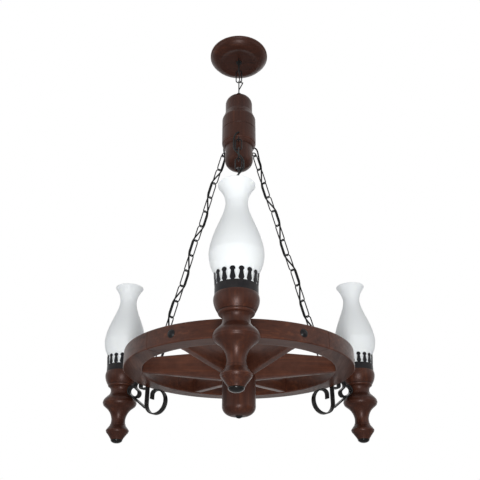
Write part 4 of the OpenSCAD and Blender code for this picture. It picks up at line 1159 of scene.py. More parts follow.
@dataclass
class SideChains:
    """The three chains, their screw eyes and the leads woven along them."""

    body_wall_depth: float = 16.0
    rim_shank: float = 22.0
    lead_radius: float = 2.1
    weave: float = 12.3
    weave_cut: float = 1.18
    steps: int = 24
    chamber_radius: float = 26.0
    body_radius: float = SIZES.body_radius
    lead_drop: float = 8.0
    lamp_hole_z: float = 34.5
    cup_radius: float = SIZES.cup_radius
    tube_radius: float = 5.0

    @staticmethod
    def link_mesh(layout: Layout) -> bpy.types.Mesh:
        """One link in the XZ plane, with its top wire's middle at the origin."""
        half = (layout.link_width - layout.wire) / 2
        straight = layout.link_mid - 2 * half
        top = [(x, z - half) for x, z in arc((0, 0), half, 0, 180, 14)]
        bottom = [(x, z - half - straight) for x, z in arc((0, 0), half, 180, 360, 14)]
        path = [Vector((x, 0, z)) * MM for x, z in top + bottom]
        return swept_mesh("link", path, round_section(layout.wire / 2, 12), closed=True,
                          across=Vector((0, 1, 0)))

    def eye_mesh(self, layout: Layout, shank: float) -> bpy.types.Mesh:
        """A screw eye: its ring round the origin in the XZ plane, its shank down Z with a shoulder."""
        radius = layout.chain_eye_ring
        ring = swept_mesh("ring", ring_path(radius, 40), round_section(layout.wire / 2), closed=True,
                          across=Vector((0, 1, 0)))
        r = layout.wire / 2
        rod = [(0, -radius - shank), (r, -radius - shank), (r, -radius - 1.2), (r + 0.5, -radius - 0.4),
               (0, -radius)]
        return joined("eye", [ring, turned_mesh("shank", rod, steps=20)])

    def chains(self, shop: Workshop) -> None:
        """Makes the chains."""
        layout = shop.layout
        lean = layout.chain_lean
        start = Vector((layout.body_eye_radius, 0, layout.body_eye_z / MM))
        start += (layout.chain_eye_ring - layout.bear) * Vector((math.sin(lean), 0, -math.cos(lean)))
        for side in Side:
            mesh = placed(self.link_mesh(layout), Matrix.Rotation(math.pi / 2, 4, "Z"))
            piece = shop.link_row.use(
                f"iron_chain_{side.tag}", mesh, Count=layout.links, Pitch=layout.pitch * MM,
                Quarter=math.pi / 2,
                Start=tuple(side.turn() @ (start * MM)), Lean=(0.0, -lean, math.radians(side.value)),
                Finish=shop.palette.iron)
            shop.finish(piece, Body.PENDANT.value, "black_iron", f"chain_{side.tag}")

    def eyes(self, shop: Workshop) -> None:
        """Makes the screw eyes in the body and in the rim."""
        layout = shop.layout
        body = placed(self.eye_mesh(layout,
                                    layout.body_eye_radius - layout.chain_eye_ring - self.body_wall_depth),
                      Matrix.Translation((layout.body_eye_radius * MM, 0, layout.body_eye_z))
                      @ Matrix.Rotation(math.pi / 2, 4, "Y"))
        ring_z = layout.rim_eye_top - (layout.chain_eye_ring + layout.wire / 2) * MM
        rim = placed(self.eye_mesh(layout, self.rim_shank - 0.5),
                     Matrix.Translation((layout.rim_eye_radius * MM, 0, ring_z))
                     @ Matrix.Rotation(math.pi / 2, 4, "Z"))
        for name, mesh, node in (("body_screw_eyes", body, "body_chain_eyes"),
                                 ("rim_screw_eyes", rim, "rim_chain_eyes")):
            piece = shop.round_axis.use(name, mesh, Count=LAMP_COUNT, First=FIRST_LAMP, Step=LAMP_STEP,
                                        Finish=shop.palette.iron)
            shop.finish(piece, Body.PENDANT.value, "black_iron", node)

    def lead_points(self, layout: Layout) -> list[tuple[float, float, float]]:
        """The lead's route in the plane of one lamp, in millimetres, as the model's source has it."""
        lean = layout.chain_lean
        along = Vector((math.sin(lean), 0, -math.cos(lean)))
        start = Vector((layout.body_eye_radius, 0, layout.body_eye_z / MM))
        start += (layout.chain_eye_ring - layout.bear) * along
        hole_top = layout.body_joint_z / MM + self.lead_drop
        rim_top = layout.wheel_z / MM + SIZES.rim_height
        over = rim_top + self.lead_radius + 0.6
        hole = layout.wheel_z / MM + self.lamp_hole_z
        body, eye, rim = self.body_radius, layout.rim_eye_radius, SIZES.rim_radius
        side = math.sin(math.radians(90 * (layout.links - 3)))
        points = [(self.chamber_radius - 8, 0, hole_top), (self.chamber_radius, 0, hole_top),
                  (body + 1, 0, hole_top),
                  (body + 3.5, -2, hole_top - 1), (body + 5.5, -6.5, hole_top - 7),
                  (body + 6, -11, hole_top - 17),
                  (body + 7.5, -self.weave, hole_top - 29)]
        waves = (layout.links - 3) / 4
        count = round(self.steps * waves)
        for k in range(-self.steps // 4, count + 1):
            point = start + (layout.link_mid / 2 + layout.pitch + 4 * layout.pitch * k / self.steps) * along
            swing = self.weave_cut * math.sin(2 * math.pi * k / self.steps)
            points.append((point.x, self.weave * max(-1.0, min(1.0, swing)), point.z))
        lamp = layout.lamp_radius / MM
        return points + [
            (eye - 12, side * 14, rim_top + 52), (eye - 5, side * 14, rim_top + 34),
            (eye + 2, side * 13, rim_top + 17),
            (eye + 9, side * 11, rim_top + 6), (rim - 4, side * 9, over), (rim + 6, side * 6, over - 1.2),
            (rim + 16, side * 3, hole + 1.2), (rim + 26, side * 0.8, hole + 0.2), (rim + 34, 0, hole),
            (lamp - self.cup_radius - 1, 0, hole), (lamp - self.tube_radius - 1, 0, hole)]

    def leads(self, shop: Workshop) -> None:
        """Makes the three lamp leads."""
        path = [Vector(p) * MM for p in smooth(self.lead_points(shop.layout), 2)]
        for side in Side:
            turn = side.turn()
            mesh = swept_mesh("lead", [turn @ p for p in path], round_section(self.lead_radius, 10))
            shop.fit(f"lamp_lead_{side.tag}", mesh, shop.palette.lead, "black_lead", "lamp_leads")

    def build(self, shop: Workshop) -> None:
        """Makes chains, eyes and leads."""
        self.chains(shop)
        self.eyes(shop)
        self.leads(shop)


@dataclass
class SupplyLead:
    """The black lead from the canopy to the centre body, which bends at each of the three pivots."""

    radius: float = 1.5
    hole_y: float = -16.0
    body_y: float = -10.0
    reach: float = 9.0

    def routes(self, shop: Workshop) -> list[tuple[str, str, str, str, Outline]]:
        """Each stretch: its name, the bodies at its ends, the pivot that it crosses, and its points."""
        layout = shop.layout
        a = layout.pivots["hook_swing"].z / MM
        b = layout.pivots["link_swing"].z / MM
        c = layout.pivots["pendant_swing"].z / MM
        top = layout.body_top_z / MM
        side = layout.link_width / 2 + 1
        first = [(0, -27, -9), (0, -21, -9.5), (0, self.hole_y - 1, -12), (0, self.hole_y, -16),
                 (0, self.hole_y, -28),
                 (0, -15.8, -37), (0, -14.2, -46), (0, -12.8, -52), (0, -12, a), (0.5, -10, a - 6),
                 (1, -7, a - 13)]
        second = [(1, -7, a - 13), (1.5, -2.5, a - 20), (2, 2.5, a - 26), (4, 5.5, b + 8), (8, 5, b + 4),
                  (side, 2.5, b + 1.8), (side + 0.3, 0, b), (side, -3, b - 5), (9, -6.5, b - 12)]
        third = [(9, -6.5, b - 12), (6.5, -9.5, b - 20), (3.5, -11.5, b - 29), (0.8, -11.5, c + 6),
                 (0, self.body_y - 0.5, c), (0, self.body_y, c - 7), (0, self.body_y, top - 4),
                 (0, self.body_y, top - 60)]
        return [("supply_lead_hook", Body.CEILING.value, Body.LINK_1.value, "hook_swing", first),
                ("supply_lead_links", Body.LINK_1.value, Body.LINK_2.value, "link_swing", second),
                ("supply_lead_body", Body.LINK_2.value, Body.PENDANT.value, "pendant_swing", third)]

    def build(self, shop: Workshop) -> None:
        """Makes the three stretches and hides the CAD nodes that they stand for."""
        nodes = {"hook_swing": ("supply_lead_top",), "link_swing": ("supply_lead_upper",),
                 "pendant_swing": ("supply_lead_lower", "supply_lead_end")}
        for name, body_a, body_b, pivot, points in self.routes(shop):
            path = [Vector(p) * MM for p in smooth(points, 5)]
            piece = piece_from(name, swept_mesh(name, path, round_section(self.radius, 12)),
                               shop.palette.lead)
            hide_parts(*nodes[pivot])
            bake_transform(piece)
            LOG.info("%s bends at %s", name, pivot)


@dataclass
class Wheel:
    """Felloes, spokes, hub and their bolts."""

    rim_radius: float = SIZES.rim_radius
    rim_width: float = 40.5
    rim_height: float = SIZES.rim_height
    edge: float = 2.0
    felloe_steps: int = 56
    end_gap: float = 0.12
    end_slide: float = 0.75
    end_inset: float = 0.6
    spoke_thick: float = 16.0
    spoke_edge: float = 1.5
    chamfer_stop: float = 8.0
    spoke_lift: float = 1.5
    spoke_drop: float = 3.0
    seat: float = 6.0
    hub_radius: float = 36.2
    hub_tip: float = 12.0
    hub_tip_height: float = 20.0
    head_radius: float = 8.5
    head_height: float = 4.5

    def felloe_mesh(self, name: str, middle: float, wheel_z: float) -> bpy.types.Mesh:
        """One quarter of the rim, with a fine chamfer where it meets its neighbours."""
        outer, inner, h, e = self.rim_radius, self.rim_radius - self.rim_width, self.rim_height, self.edge
        section = (arc((outer - e, e), e, -90, 0, 5) + arc((outer - e, h - e), e, 0, 90, 5)
                   + arc((inner + e, h - e), e, 90, 180, 5) + arc((inner + e, e), e, 180, 270, 5))
        section = self.softened(section)
        centre = Vector(((outer + inner) / 2, h / 2))
        rings, felt = [], []
        for k in range(self.felloe_steps + 1):
            a = math.radians(middle - 45 + 90 * k / self.felloe_steps)
            for shrink, slide in self.end_rings(k):
                turn = a + slide / outer
                ring, values = [], []
                for r, z in section:
                    p = Vector((r, z))
                    p = p + (centre - p).normalized() * shrink
                    ring.append(Vector((p.x * math.cos(turn), p.x * math.sin(turn), p.y)) * MM
                                + Vector((0, 0, wheel_z)))
                    # Rounded edges count as ridges and take the lighter colour, partly edge wearing and
                    # partly a painted highlight; the drawn-in ends count as grooves, for dark joints.
                    on_edge = min(abs(r - inner), abs(r - outer)) < e + 0.1 and min(z, h - z) < e + 0.1
                    values.append(0.8 if on_edge else (-0.7 if shrink else 0.0))
                rings.append(ring)
                felt.append(values)
        return lofted_mesh(name, rings, felt)

    @staticmethod
    def softened(section: Outline) -> Outline:
        """The rim's section with extra points on its four flats, so that finishes change where it turns."""
        dense: Outline = []
        for (x0, y0), (x1, y1) in zip(section, section[1:] + section[:1]):
            dense.append((x0, y0))
            if math.dist((x0, y0), (x1, y1)) > 10:
                dense += [(x0 + (x1 - x0) * t, y0 + (y1 - y0) * t) for t in (0.08, 0.35, 0.65, 0.92)]
        return dense

    def end_rings(self, k: int) -> list[tuple[float, float]]:
        """How far each ring at step k is drawn in and slid along, for the chamfer at both ends."""
        if k == 0:
            return [(self.end_inset, self.end_gap), (0.0, self.end_slide)]
        if k == self.felloe_steps:
            return [(0.0, -self.end_slide), (self.end_inset, -self.end_gap)]
        return [(0.0, 0.0)]

    def spoke_mesh(self, name: str, angle: float, wheel_z: float) -> bpy.types.Mesh:
        """A board on edge that grows deeper towards the hub, with its long corners eased."""
        low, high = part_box("spoke_1")
        near_rim = self.rim_radius - self.rim_width - 1
        rim_low, rim_high = wheel_z + self.spoke_lift * MM, wheel_z + (self.rim_height - self.spoke_drop) * MM
        stations = [(low.x / MM, 0.0)]
        shares = [0, 0.045, 0.06] + [0.1 * k for k in range(1, 10)] + [0.94, 0.955, 1]
        stations += [(self.hub_radius + (near_rim - self.hub_radius) * t, t) for t in shares]
        stations.append((near_rim + 1 + self.seat, 1.0))
        turn = Matrix.Rotation(math.radians(angle), 4, "Z")
        rings, relief = [], []
        for x, share in stations:
            z0, z1 = low.z + (rim_low - low.z) * share, high.z + (rim_high - high.z) * share
            stopped = self.chamfer_stop < x - self.hub_radius < near_rim - self.hub_radius - self.chamfer_stop
            section, felt = bar_section((z1 - z0) / MM, self.spoke_thick,
                                        self.spoke_edge if stopped else 0.3, 4)
            rings.append([turn @ Vector((x * MM, side * MM, (z0 + z1) / 2 + up * MM))
                          for up, side in section])
            relief.append(felt)
        return lofted_mesh(name, rings, relief)

    def hub_outline(self, layout: Layout) -> Outline:
        """The hub's outline, from its tip to its top."""
        low, top = layout.hub_low / MM, layout.hub_high / MM
        r, tip = self.hub_radius, self.hub_tip
        deep = self.hub_tip_height
        corner = [(tip + (r - tip) * math.cos(math.pi / 2 * i / 16),
                   low + deep - deep * math.sin(math.pi / 2 * i / 16))
                  for i in range(16, -1, -1)]
        return [(0, low)] + corner + [(r, low + 28), (r, low + 60)] + \
            arc((r - 5, top - 5), 5, 0, 90, 8) + [(r - 8, top), (0, top)]

    def head_mesh(self) -> bpy.types.Mesh:
        """A domed head that looks along +X from the rim's outer face."""
        ball = (self.head_radius ** 2 + self.head_height ** 2) / (2 * self.head_height)
        top = math.asin(self.head_radius / ball)
        crown = [(ball * math.sin(top * (1 - i / 10)),
                  self.head_height - ball + ball * math.cos(top * (1 - i / 10)))
                 for i in range(11)]
        outline = [(0, 0), (self.head_radius - 0.5, 0), (self.head_radius, 0.3)] + crown[1:-1]
        outline.append((0, self.head_height))
        return turned_mesh("head", outline, steps=40)

    def build(self, shop: Workshop) -> None:
        """Makes the wheel."""
        layout, palette = shop.layout, shop.palette
        for index, (where, middle) in enumerate((("front", -90), ("right", 0), ("back", 90), ("left", 180))):
            name = f"rim_felloe_{where}"
            shop.fit(name, self.felloe_mesh(name, middle, layout.wheel_z), palette.felloe_along[index % 2],
                     "varnished_wood", f"felloe_{where}")
        for k in range(6):
            name = f"wheel_spoke_{k + 1}"
            shop.fit(name, self.spoke_mesh(name, 60 * k, layout.wheel_z), palette.spoke_along[k % 3],
                     "varnished_wood", f"spoke_{k + 1}")
        shop.fit("wheel_hub", turned_mesh("wheel_hub", self.hub_outline(layout), steps=112), palette.turned,
                 "varnished_wood", "hub")
        self.bolts(shop)

    def bolts(self, shop: Workshop) -> None:
        """Makes the domed heads on the rim and under the hub."""
        layout = shop.layout
        out = Matrix.Translation((self.rim_radius * MM, 0, layout.wheel_z + self.rim_height / 2 * MM))
        head = placed(self.head_mesh(), out @ Matrix.Rotation(math.pi / 2, 4, "Y"))
        piece = shop.round_axis.use("spoke_bolt_heads", head, Count=6, First=0.0, Step=math.radians(60),
                                    Finish=shop.palette.iron)
        shop.finish(piece, Body.PENDANT.value, "black_iron", "spoke_bolts")
        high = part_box("hub_bolt")[1]
        rod = [(0, layout.hub_high / MM - 1), (4, layout.hub_high / MM - 1), (4, high.z / MM - 0.6),
               (3.4, high.z / MM),
               (0, high.z / MM)]
        under = placed(self.head_mesh(),
                       Matrix.Translation((0, 0, layout.hub_low)) @ Matrix.Rotation(math.pi, 4, "X"))
        piece = piece_from("hub_through_bolt", joined("hub_bolt", [under, turned_mesh("rod", rod, steps=32)]),
                           shop.palette.iron)
        shop.finish(piece, Body.PENDANT.value, "black_iron", "hub_bolt")


@dataclass
class Brackets:
    """The three forged brackets: bar with the big scroll, brace with its curl, and S scroll."""

    width: float = 14.0
    thick: float = 3.0
    corner: float = 0.7
    rim_radius: float = SIZES.rim_radius
    bar_top: float = 33.5
    scroll_radius: float = 27.5
    scroll_drop: float = 36.5
    scroll_flat: float = 2.0
    tip_radius: float = 10.0
    tip: float = 10.0
    curl_radius: float = 10.0
    curl_end: float = 124.0
    slope: float = 36.9
    curl: tuple[float, float] = (297.59, -1.59)
    upper_radius: float = 8.5
    lower_radius: float = 8.15
    tail_radius: float = 6.5
    screw_heights: tuple[float, float] = (10.2, 26.3)

    def bar_path(self) -> Outline:
        """The bar and its scroll, from the bar's top."""
        x, r = self.rim_radius + self.thick / 2, self.scroll_radius
        centre = (x - r, -self.scroll_drop)
        tip = (centre[0] + self.scroll_flat, centre[1] + r - self.tip_radius)
        straight = [(x, self.bar_top - (self.bar_top + self.scroll_drop) * k / 8) for k in range(8)]
        return straight + arc(centre, r, 0, -270, 60) + arc(tip, self.tip_radius, 90, 0, 12) + [
            (tip[0] + self.tip_radius, tip[1] - self.tip / 2), (tip[0] + self.tip_radius, tip[1] - self.tip)]

    def brace_path(self) -> Outline:
        """The brace, from the bar's bend to the end of the curl."""
        a = math.radians(self.slope)
        foot = (self.curl[0] + self.curl_radius * math.sin(a), self.curl[1] - self.curl_radius * math.cos(a))
        length = (foot[0] - self.rim_radius) / math.cos(a) - 2.5
        run = [(foot[0] - length * (1 - k / 8) * math.cos(a), foot[1] - length * (1 - k / 8) * math.sin(a))
               for k in range(8)]
        return run + arc(self.curl, self.curl_radius, self.slope - 90, self.curl_end, 44)

    def s_path(self) -> Outline:
        """The S scroll, from its tail on the bar to the end of its lower curl."""
        upper = (self.curl[0] - 16.6, self.curl[1] + 10.6)
        lower = (self.curl[0] - 14.6, self.curl[1] - 9.4)
        span = math.dist(upper, lower)
        crossing = math.degrees(math.atan2(lower[1] - upper[1], lower[0] - upper[0])
                                - math.asin((self.upper_radius + self.lower_radius) / span))
        tail = (upper[0] - self.upper_radius - self.tail_radius, upper[1] - 4)
        return ([(self.rim_radius + self.thick, tail[1] - self.tail_radius)]
                + arc(tail, self.tail_radius, -90, 0, 10)
                + arc(upper, self.upper_radius, 180, crossing + 90, 34)
                + arc(lower, self.lower_radius, crossing + 270, 310, 28))

    def strip(self, shop: Workshop, name: str, side: Side, path: Outline, node: str) -> None:
        """Makes one bent strip."""
        section, felt = bar_section(self.thick, self.width, self.corner)
        across = side.turn() @ Vector((0, 1, 0))
        mesh = swept_mesh(name, shop.layout.in_bracket(side, path), section, across=across, felt=felt,
                          angle=50)
        shop.fit(name, mesh, shop.palette.iron, "black_iron", node)

    def screws(self, shop: Workshop) -> None:
        """Makes the screw heads on the bar and inside the curl."""
        layout = shop.layout
        heads = []
        for x, z, turn in ((self.rim_radius + self.thick, self.screw_heights[0], 90),
                           (self.rim_radius + self.thick, self.screw_heights[1], 90),
                           (self.curl[0] + 7.5, self.curl[1], -90)):
            dome = turned_mesh("screw",
                               [(0, 0), (4, 0), (4, 0.3), (3.5, 1.1), (2.4, 1.8), (1.1, 2.15),
                                (0, 2.2)], steps=24)
            place = Matrix.Translation((x * MM, 0, layout.wheel_z + z * MM))
            place = place @ Matrix.Rotation(math.radians(turn), 4, "Y")
            heads.append(placed(dome, place))
        piece = shop.round_axis.use("bracket_screw_heads", joined("screws", heads), Count=LAMP_COUNT,
                                    First=FIRST_LAMP, Step=LAMP_STEP, Finish=shop.palette.iron)
        shop.finish(piece, Body.PENDANT.value, "black_iron", "bracket_screws")

    def build(self, shop: Workshop) -> None:
        """Makes the three brackets and their screws."""
        for side in Side:
            self.strip(shop, f"bracket_bar_{side.tag}", side, self.bar_path(), f"scroll_bar_{side.tag}")
            self.strip(shop, f"bracket_brace_{side.tag}", side, self.brace_path(), "braces")
            self.strip(shop, f"bracket_s_scroll_{side.tag}", side, self.s_path(), "s_scrolls")
        self.screws(shop)


@dataclass
class LampBodies:
    """The turned wooden lamps, their caps and tubes."""

    cup: float = SIZES.cup_radius
    cup_top: float = SIZES.cup_top
    skirt: float = SIZES.gallery_skirt
    band: float = 38.6
    waist: float = 24.0
    waist_arc: float = 14.0
    bead: float = 40.3
    bead_z: float = -28.5
    neck: float = 16.5
    knob: float = 27.0
    knob_z: float = -92.5
    quirk_z: float = -77.5
    tip: float = 14.0
    drop: float = 112.0
    cap_height: float = 8.5
    chamber: float = 20.0
    chamber_depth: float = 20.0
    bore: float = 5.1

    def outline(self) -> Outline:
        """The lamp's outline, from its tip to the top of its cup and down its hollow."""
        cup_top = [(0, 0), (0.667, 0.45)]
        cup_low = [(0, 0), (0.054, 0.226), (0.243, 0.475), (0.568, 0.747), (1, 1)]
        bead = [(0, 0), (0.25, 0.16), (0.62, 0.4), (0.87, 0.63), (0.98, 0.86), (1, 1)]
        cove = [(0, 0), (0.06, 0.08), (0.21, 0.15), (0.44, 0.24), (0.65, 0.35), (0.81, 0.47), (0.93, 0.61),
                (1, 0.76), (1, 0.88), (0.97, 1)]
        knob = [(0, 0), (0.06, 0.17), (0.31, 0.37), (0.66, 0.64), (0.95, 0.87), (1, 1)]
        tip = [(0, 0), (0.07, 0.13), (0.32, 0.33), (0.6, 0.58), (0.85, 0.82), (1, 1)]
        w, low = self.waist, 16.4
        middle = (w + self.waist_arc, 0)
        end = arc(middle, self.waist_arc, 222.7, 222.7, 1)[0]
        top = self.cup_top
        side = (self.cup, top - 11)
        parts = [
            [(self.band - 1.2, top), (self.band - 1.2, top - self.skirt)],
            smooth(stretch(cup_top, (self.band, top - self.skirt), side)
                   + stretch(cup_low, side, (w + 9, low))),
            [(w + 8.3, low - 0.2)],
            smooth([(w + 7.9, 15.6), (w + 8, 13.8), (w + 6.8, 11.4), (w + 4.4, 9.9)]),
            arc(middle, self.waist_arc, 137.5, 222.7, 24),
            smooth(stretch(bead, (end[0] + 0.2, end[1] - 0.2), (self.bead, self.bead_z))),
            smooth(stretch(cove, (self.bead - 0.8, self.bead_z - 1.2), (self.neck, self.quirk_z + 1))),
            smooth(stretch(knob, (self.neck + 1.8, self.quirk_z), (self.knob, self.knob_z))),
            smooth(stretch(tip, (self.knob - 0.7, self.knob_z - 1.3), (self.tip, -self.drop))),
            [(self.bore, -self.drop), (self.bore, top - self.chamber_depth),
             (self.chamber, top - self.chamber_depth),
             (self.chamber, top)]]
        outline = [point for part in parts for point in part]
        outline.reverse()
        return outline

    def cap_outline(self) -> Outline:
        """The black cap's outline, from its bottom up."""
        r, z, h = self.tip - 0.2, -self.drop - 0.8, self.cap_height - 0.8
        crown = [(r * math.cos(math.pi / 2 * i / 14), z - h * math.sin(math.pi / 2 * i / 14))
                 for i in range(14, -1, -1)]
        return [(0, crown[0][1])] + crown[1:] + [(self.tip - 0.9, -self.drop), (0, -self.drop)]

    def build(self, shop: Workshop) -> None:
        """Makes the three lamp bodies and their caps."""
        for side in Side:
            place = shop.layout.at_lamp(side)
            name = f"turned_lamp_{side.tag}"
            shop.fit(name, turned_mesh(name, self.outline(), place, 112), shop.palette.lamp_wood,
                     "varnished_wood", f"lamp_body_{side.tag}")
            name = f"end_cap_{side.tag}"
            shop.fit(name, turned_mesh(name, self.cap_outline(), place, 56), shop.palette.gloss,
                     "black_gloss", "lamp_end_caps")


@dataclass
class Galleries:
    """The black sheet cups with fingers that hold the glass."""

    radius: float = 38.1
    sheet: float = 1.0
    floor: float = SIZES.cup_top
    skirt: float = SIZES.gallery_skirt
    band: float = 15.5
    fingers: int = 16
    flare: float = 2.0
    phase: float = 0.6
    shape: tuple[tuple[float, float], ...] = (
        (3.3, -1), (3.3, 0.6), (4.6, 2.2), (5.2, 4), (4.9, 6.2), (3.7, 11), (3.2, 15.2), (3.4, 17),
        (4.7, 18.4),
        (4.9, 20), (4.3, 21.7), (3, 23), (1.5, 23.7), (0.05, 24))

    def finger_mesh(self) -> bpy.types.Mesh:
        """One finger on the +X side, curved with the band and leaning out a little."""
        base = self.floor - self.skirt + self.band
        levels = smooth(self.shape, 3)
        top = levels[-1][1]
        columns = 6
        bm = bmesh.new()
        layer = bm.verts.layers.float.new("relief")
        faces: dict[int, list[list[bmesh.types.BMVert]]] = {1: [], -1: []}
        for face in (1, -1):
            for half, height in levels:
                radius = self.radius + face * self.sheet / 2 + self.flare * max(0.0, height) / top
                row = []
                for c in range(columns + 1):
                    share = 2 * c / columns - 1
                    a = half * share / radius
                    point = Vector((radius * math.cos(a), radius * math.sin(a), base + height))
                    vert = bm.verts.new(point * MM)
                    # Side edges and tips of each finger count as ridges and take the lighter colour, partly
                    # edge wearing and partly a painted highlight.
                    vert[layer] = 1.0 if abs(share) > 0.99 or height > top - 0.5 else 0.0
                    row.append(vert)
                faces[face].append(row)
        for face in (1, -1):
            rows = faces[face]
            for low, high in zip(rows, rows[1:]):
                for c in range(columns):
                    bm.faces.new((low[c], low[c + 1], high[c + 1], high[c]))
        outer, inner = faces[1], faces[-1]
        for rim_out, rim_in in (([r[0] for r in outer], [r[0] for r in inner]),
                                ([r[-1] for r in outer], [r[-1] for r in inner]), (outer[0], inner[0]),
                                (outer[-1], inner[-1])):
            for k in range(len(rim_out) - 1):
                bm.faces.new((rim_out[k], rim_out[k + 1], rim_in[k + 1], rim_in[k]))
        return closed_mesh("finger", bm, 50)

    def band_outline(self) -> Outline:
        """The band and its floor plate."""
        out, inn, t = self.radius + self.sheet / 2, self.radius - self.sheet / 2, self.sheet
        low, high = self.floor - self.skirt, self.floor - self.skirt + self.band
        return [(7, self.floor), (inn, self.floor), (inn, low), (out - 0.2, low), (out, low + 0.3),
                (out, high - 0.3),
                (out - 0.3, high), (inn + 0.3, high), (inn, high - 0.3), (inn, self.floor + t),
                (7, self.floor + t)]

    def build(self, shop: Workshop) -> None:
        """Makes the three galleries."""
        for side in Side:
            place = shop.layout.at_lamp(side)
            name = f"sheet_gallery_{side.tag}"
            step = 2 * math.pi / self.fingers
            fingers = shop.round_axis.use(name, self.finger_mesh(), Count=self.fingers,
                                          First=step * self.phase,
                                          Step=step, Finish=shop.palette.sheet)
            band = turned_mesh("band", self.band_outline(), steps=128)
            mesh = placed(joined(name, [fingers.data.copy(), band]), place)
            bpy.data.objects.remove(fingers)
            shop.fit(name, mesh, shop.palette.sheet, "black_sheet", f"gallery_{side.tag}")


@dataclass
class Chimneys:
    """The opal glasses."""

    foot: float = 37.0
    belly: float = 50.2
    neck: float = 21.0
    mouth: float = 36.0
    height: float = 221.0
    wall: float = 2.4
    base: float = 50.8

    def side_of(self, inset: float) -> Outline:
        """The glass's outline from foot to mouth, drawn in by an inset."""
        b, n, f, m = (value - inset for value in (self.belly, self.neck, self.foot, self.mouth))
        s = self.height / 221
        return [(f, 0), (f, 12 * s), (f, 25 * s)] + smooth(
            [(f, 26 * s), (f + 0.15 * (b - f), 35 * s), (f + 0.37 * (b - f), 41.5 * s),
             (f + 0.69 * (b - f), 51 * s),
             (f + 0.88 * (b - f), 61 * s), (f + 0.99 * (b - f), 71 * s), (b, 76 * s),
             (b - 0.03 * (b - n), 84 * s),
             (b - 0.09 * (b - n), 94 * s), (b - 0.25 * (b - n), 111 * s), (b - 0.42 * (b - n), 125 * s),
             (b - 0.61 * (b - n), 139 * s), (b - 0.79 * (b - n), 153 * s), (n + 0.09 * (b - n), 164 * s),
             (n, 178 * s),
             (n + 0.02 * (m - n), 187 * s), (n + 0.2 * (m - n), 198 * s), (n + 0.42 * (m - n), 206 * s),
             (n + 0.74 * (m - n), 214 * s), (m - 0.6, 218.8 * s)], 4)

    def build(self, shop: Workshop) -> None:
        """Makes the three glasses."""
        lip_radius = self.wall / 2
        lip = arc((self.mouth - self.wall / 2 - 0.3, self.height - lip_radius), lip_radius, 20, 160, 8)
        outline = self.side_of(0) + lip + self.side_of(self.wall)[::-1]
        for side in Side:
            place = shop.layout.at_lamp(side) @ Matrix.Translation((0, 0, self.base * MM))
            name = f"opal_chimney_{side.tag}"
            shop.fit(name, turned_mesh(name, outline, place, 112), shop.palette.opal, "opal_glass",
                     f"chimney_{side.tag}", body=f"chimney_{side.tag}")


@dataclass
class HiddenParts:
    """Nodes that keep their CAD shape and only get a finish, as merged copies with smooth shading."""

    def build(self, shop: Workshop) -> None:
        """Dresses the nodes."""
        p = shop.palette
        plan = {
            "ceiling_bar": (p.zinc, "zinc_steel", Body.CEILING.value),
            "hook_nut": (p.zinc, "zinc_steel", Body.CEILING.value),
            "terminal_block": (p.plastic, "cream_plastic", Body.CEILING.value),
            "rod_nuts": (p.zinc, "zinc_steel", Body.PENDANT.value),
            "junction_block": (p.plastic, "cream_plastic", Body.PENDANT.value),
            "felloe_dowels": (p.dowel, "dowel_wood", Body.PENDANT.value),
            "lamp_tubes": (p.brass, "tube_brass", Body.PENDANT.value)}
        for side in Side:
            plan[f"lampholder_{side.tag}"] = (p.holder, "holder_plastic", Body.PENDANT.value)
            plan[f"bulb_{side.tag}"] = (p.bulb, "bulb_glass", f"bulb_{side.tag}")
        for node, (material, slot, body) in plan.items():
            piece = piece_from(f"dressed_{node}", cad_copy(node), material)
            shop.finish(piece, body, slot, node)


# ---------------------------------------------------------------- studio


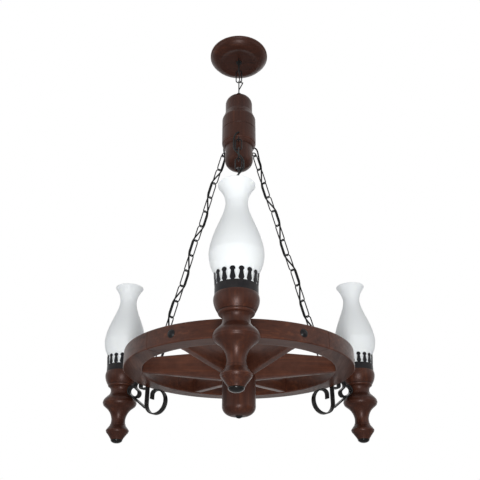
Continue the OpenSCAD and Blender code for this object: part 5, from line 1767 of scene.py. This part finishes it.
@dataclass
class Studio:
    """Camera, light, floor and background."""

    camera_radius: float = 1.318
    camera_drop: float = 0.3516
    camera_azimuth: float = -89.29
    camera_pitch: float = 27.25
    focal: float = 610.7
    sensor: float = 36.0
    centre_x: float = 238.9
    floor_z: float = -2.4
    floor_half: float = 7.0
    aim_z: float = -0.75
    key_power: float = 36.0
    wide_power: float = 3.0
    side_power: float = 6.0
    world_level: float = 0.35

    def camera(self, layout: Layout) -> None:
        """Sets the camera where the photo's fitted camera stood."""
        data = bpy.data.cameras.new("photo_camera")
        data.sensor_width = self.sensor
        data.lens = self.focal / PHOTO_SIZE * self.sensor
        data.shift_x = (PHOTO_SIZE / 2 - self.centre_x) / PHOTO_SIZE
        data.clip_start, data.clip_end = 0.02, 30
        made = bpy.data.objects.new("photo_camera", data)
        bpy.context.scene.collection.objects.link(made)
        a = math.radians(self.camera_azimuth)
        made.location = (self.camera_radius * math.cos(a), self.camera_radius * math.sin(a),
                         layout.wheel_z - self.camera_drop)
        made.rotation_euler = (math.radians(90 + self.camera_pitch), 0,
                               math.radians(self.camera_azimuth + 90))
        bpy.context.scene.camera = made

    def softbox(self, name: str, place: tuple[float, float, float], size: tuple[float, float],
                power: float) -> None:
        """A lamp of a width and a height that looks at the wheel."""
        data = bpy.data.lights.new(name, "AREA")
        data.shape = "RECTANGLE"
        data.size, data.size_y = size
        data.energy = power
        made = bpy.data.objects.new(name, data)
        bpy.context.scene.collection.objects.link(made)
        made.location = place
        aim = Vector((0, 0, self.aim_z)) - Vector(place)
        made.rotation_euler = aim.to_track_quat("-Z", "Y").to_euler()

    def pale(self, name: str, level: float) -> bpy.types.Material:
        """A plain pale matt finish."""
        material = bpy.data.materials.new(name)
        material.use_nodes = True
        shader = material.node_tree.nodes["Principled BSDF"]
        shader.inputs["Base Color"].default_value = (level, level, level, 1)
        shader.inputs["Roughness"].default_value = 0.9
        return material

    def build(self, layout: Layout) -> None:
        """Sets camera, lamps, floor and world."""
        scene = bpy.context.scene
        scene.view_settings.view_transform = "Standard"
        self.camera(layout)
        self.softbox("key_softbox", (0.03, -2.2, -1.95), (0.26, 0.8), self.key_power)
        self.softbox("wide_softbox", (0.3, -2.3, -1.1), (2.2, 1.4), self.wide_power)
        self.softbox("left_softbox", (-2.2, -1.2, -0.6), (1.6, 1.8), self.side_power)
        self.softbox("right_softbox", (2.2, -1.2, -0.2), (1.6, 1.8), self.side_power)
        self.softbox("back_softbox", (0.6, 2.4, 0.3), (1.8, 1.8), self.side_power)
        mesh = bpy.data.meshes.new("floor")
        corners = [(x * self.floor_half, y * self.floor_half, self.floor_z)
                   for x, y in ((-1, -1), (1, -1), (1, 1), (-1, 1))]
        mesh.from_pydata(corners, [], [(0, 1, 2, 3)])
        piece_from("floor", mesh, self.pale("pale_floor", 0.86))
        self.world(scene)

    def world(self, scene: bpy.types.Scene) -> None:
        """White to the camera and to mirror rays, and a plain soft level to everything else."""
        world = bpy.data.worlds.new("studio")
        scene.world = world
        world.use_nodes = True
        tree = world.node_tree
        tree.nodes.clear()
        path = tree.nodes.new("ShaderNodeLightPath")
        clear = path.outputs["Is Camera Ray"]
        for ray in ("Is Glossy Ray", "Is Transmission Ray"):
            either = tree.nodes.new("ShaderNodeMath")
            either.operation = "MAXIMUM"
            tree.links.new(clear, either.inputs[0])
            tree.links.new(path.outputs[ray], either.inputs[1])
            clear = either.outputs[0]
        soft, white = (tree.nodes.new("ShaderNodeBackground") for _ in range(2))
        soft.inputs["Strength"].default_value = self.world_level
        for background in (soft, white):
            background.inputs["Color"].default_value = (1, 1, 1, 1)
        mix = tree.nodes.new("ShaderNodeMixShader")
        out = tree.nodes.new("ShaderNodeOutputWorld")
        tree.links.new(clear, mix.inputs[0])
        tree.links.new(soft.outputs[0], mix.inputs[1])
        tree.links.new(white.outputs[0], mix.inputs[2])
        tree.links.new(mix.outputs[0], out.inputs["Surface"])


def main() -> None:
    """Builds every sub-assembly in order."""
    logging.basicConfig(level=logging.INFO, format="%(name)s: %(message)s")
    layout = Layout()
    shop = Workshop(layout, Palette(), link_row_tree(), round_axis_tree())
    Studio().build(layout)
    for assembly in (SupplyLead(), Canopy(), TopSuspension(), CentreBody(), SideChains(), Wheel(), Brackets(),
                     LampBodies(), Galleries(), Chimneys(), HiddenParts()):
        assembly.build(shop)
        LOG.info("%s is built", type(assembly).__name__)


if __name__ == "__main__":
    main()
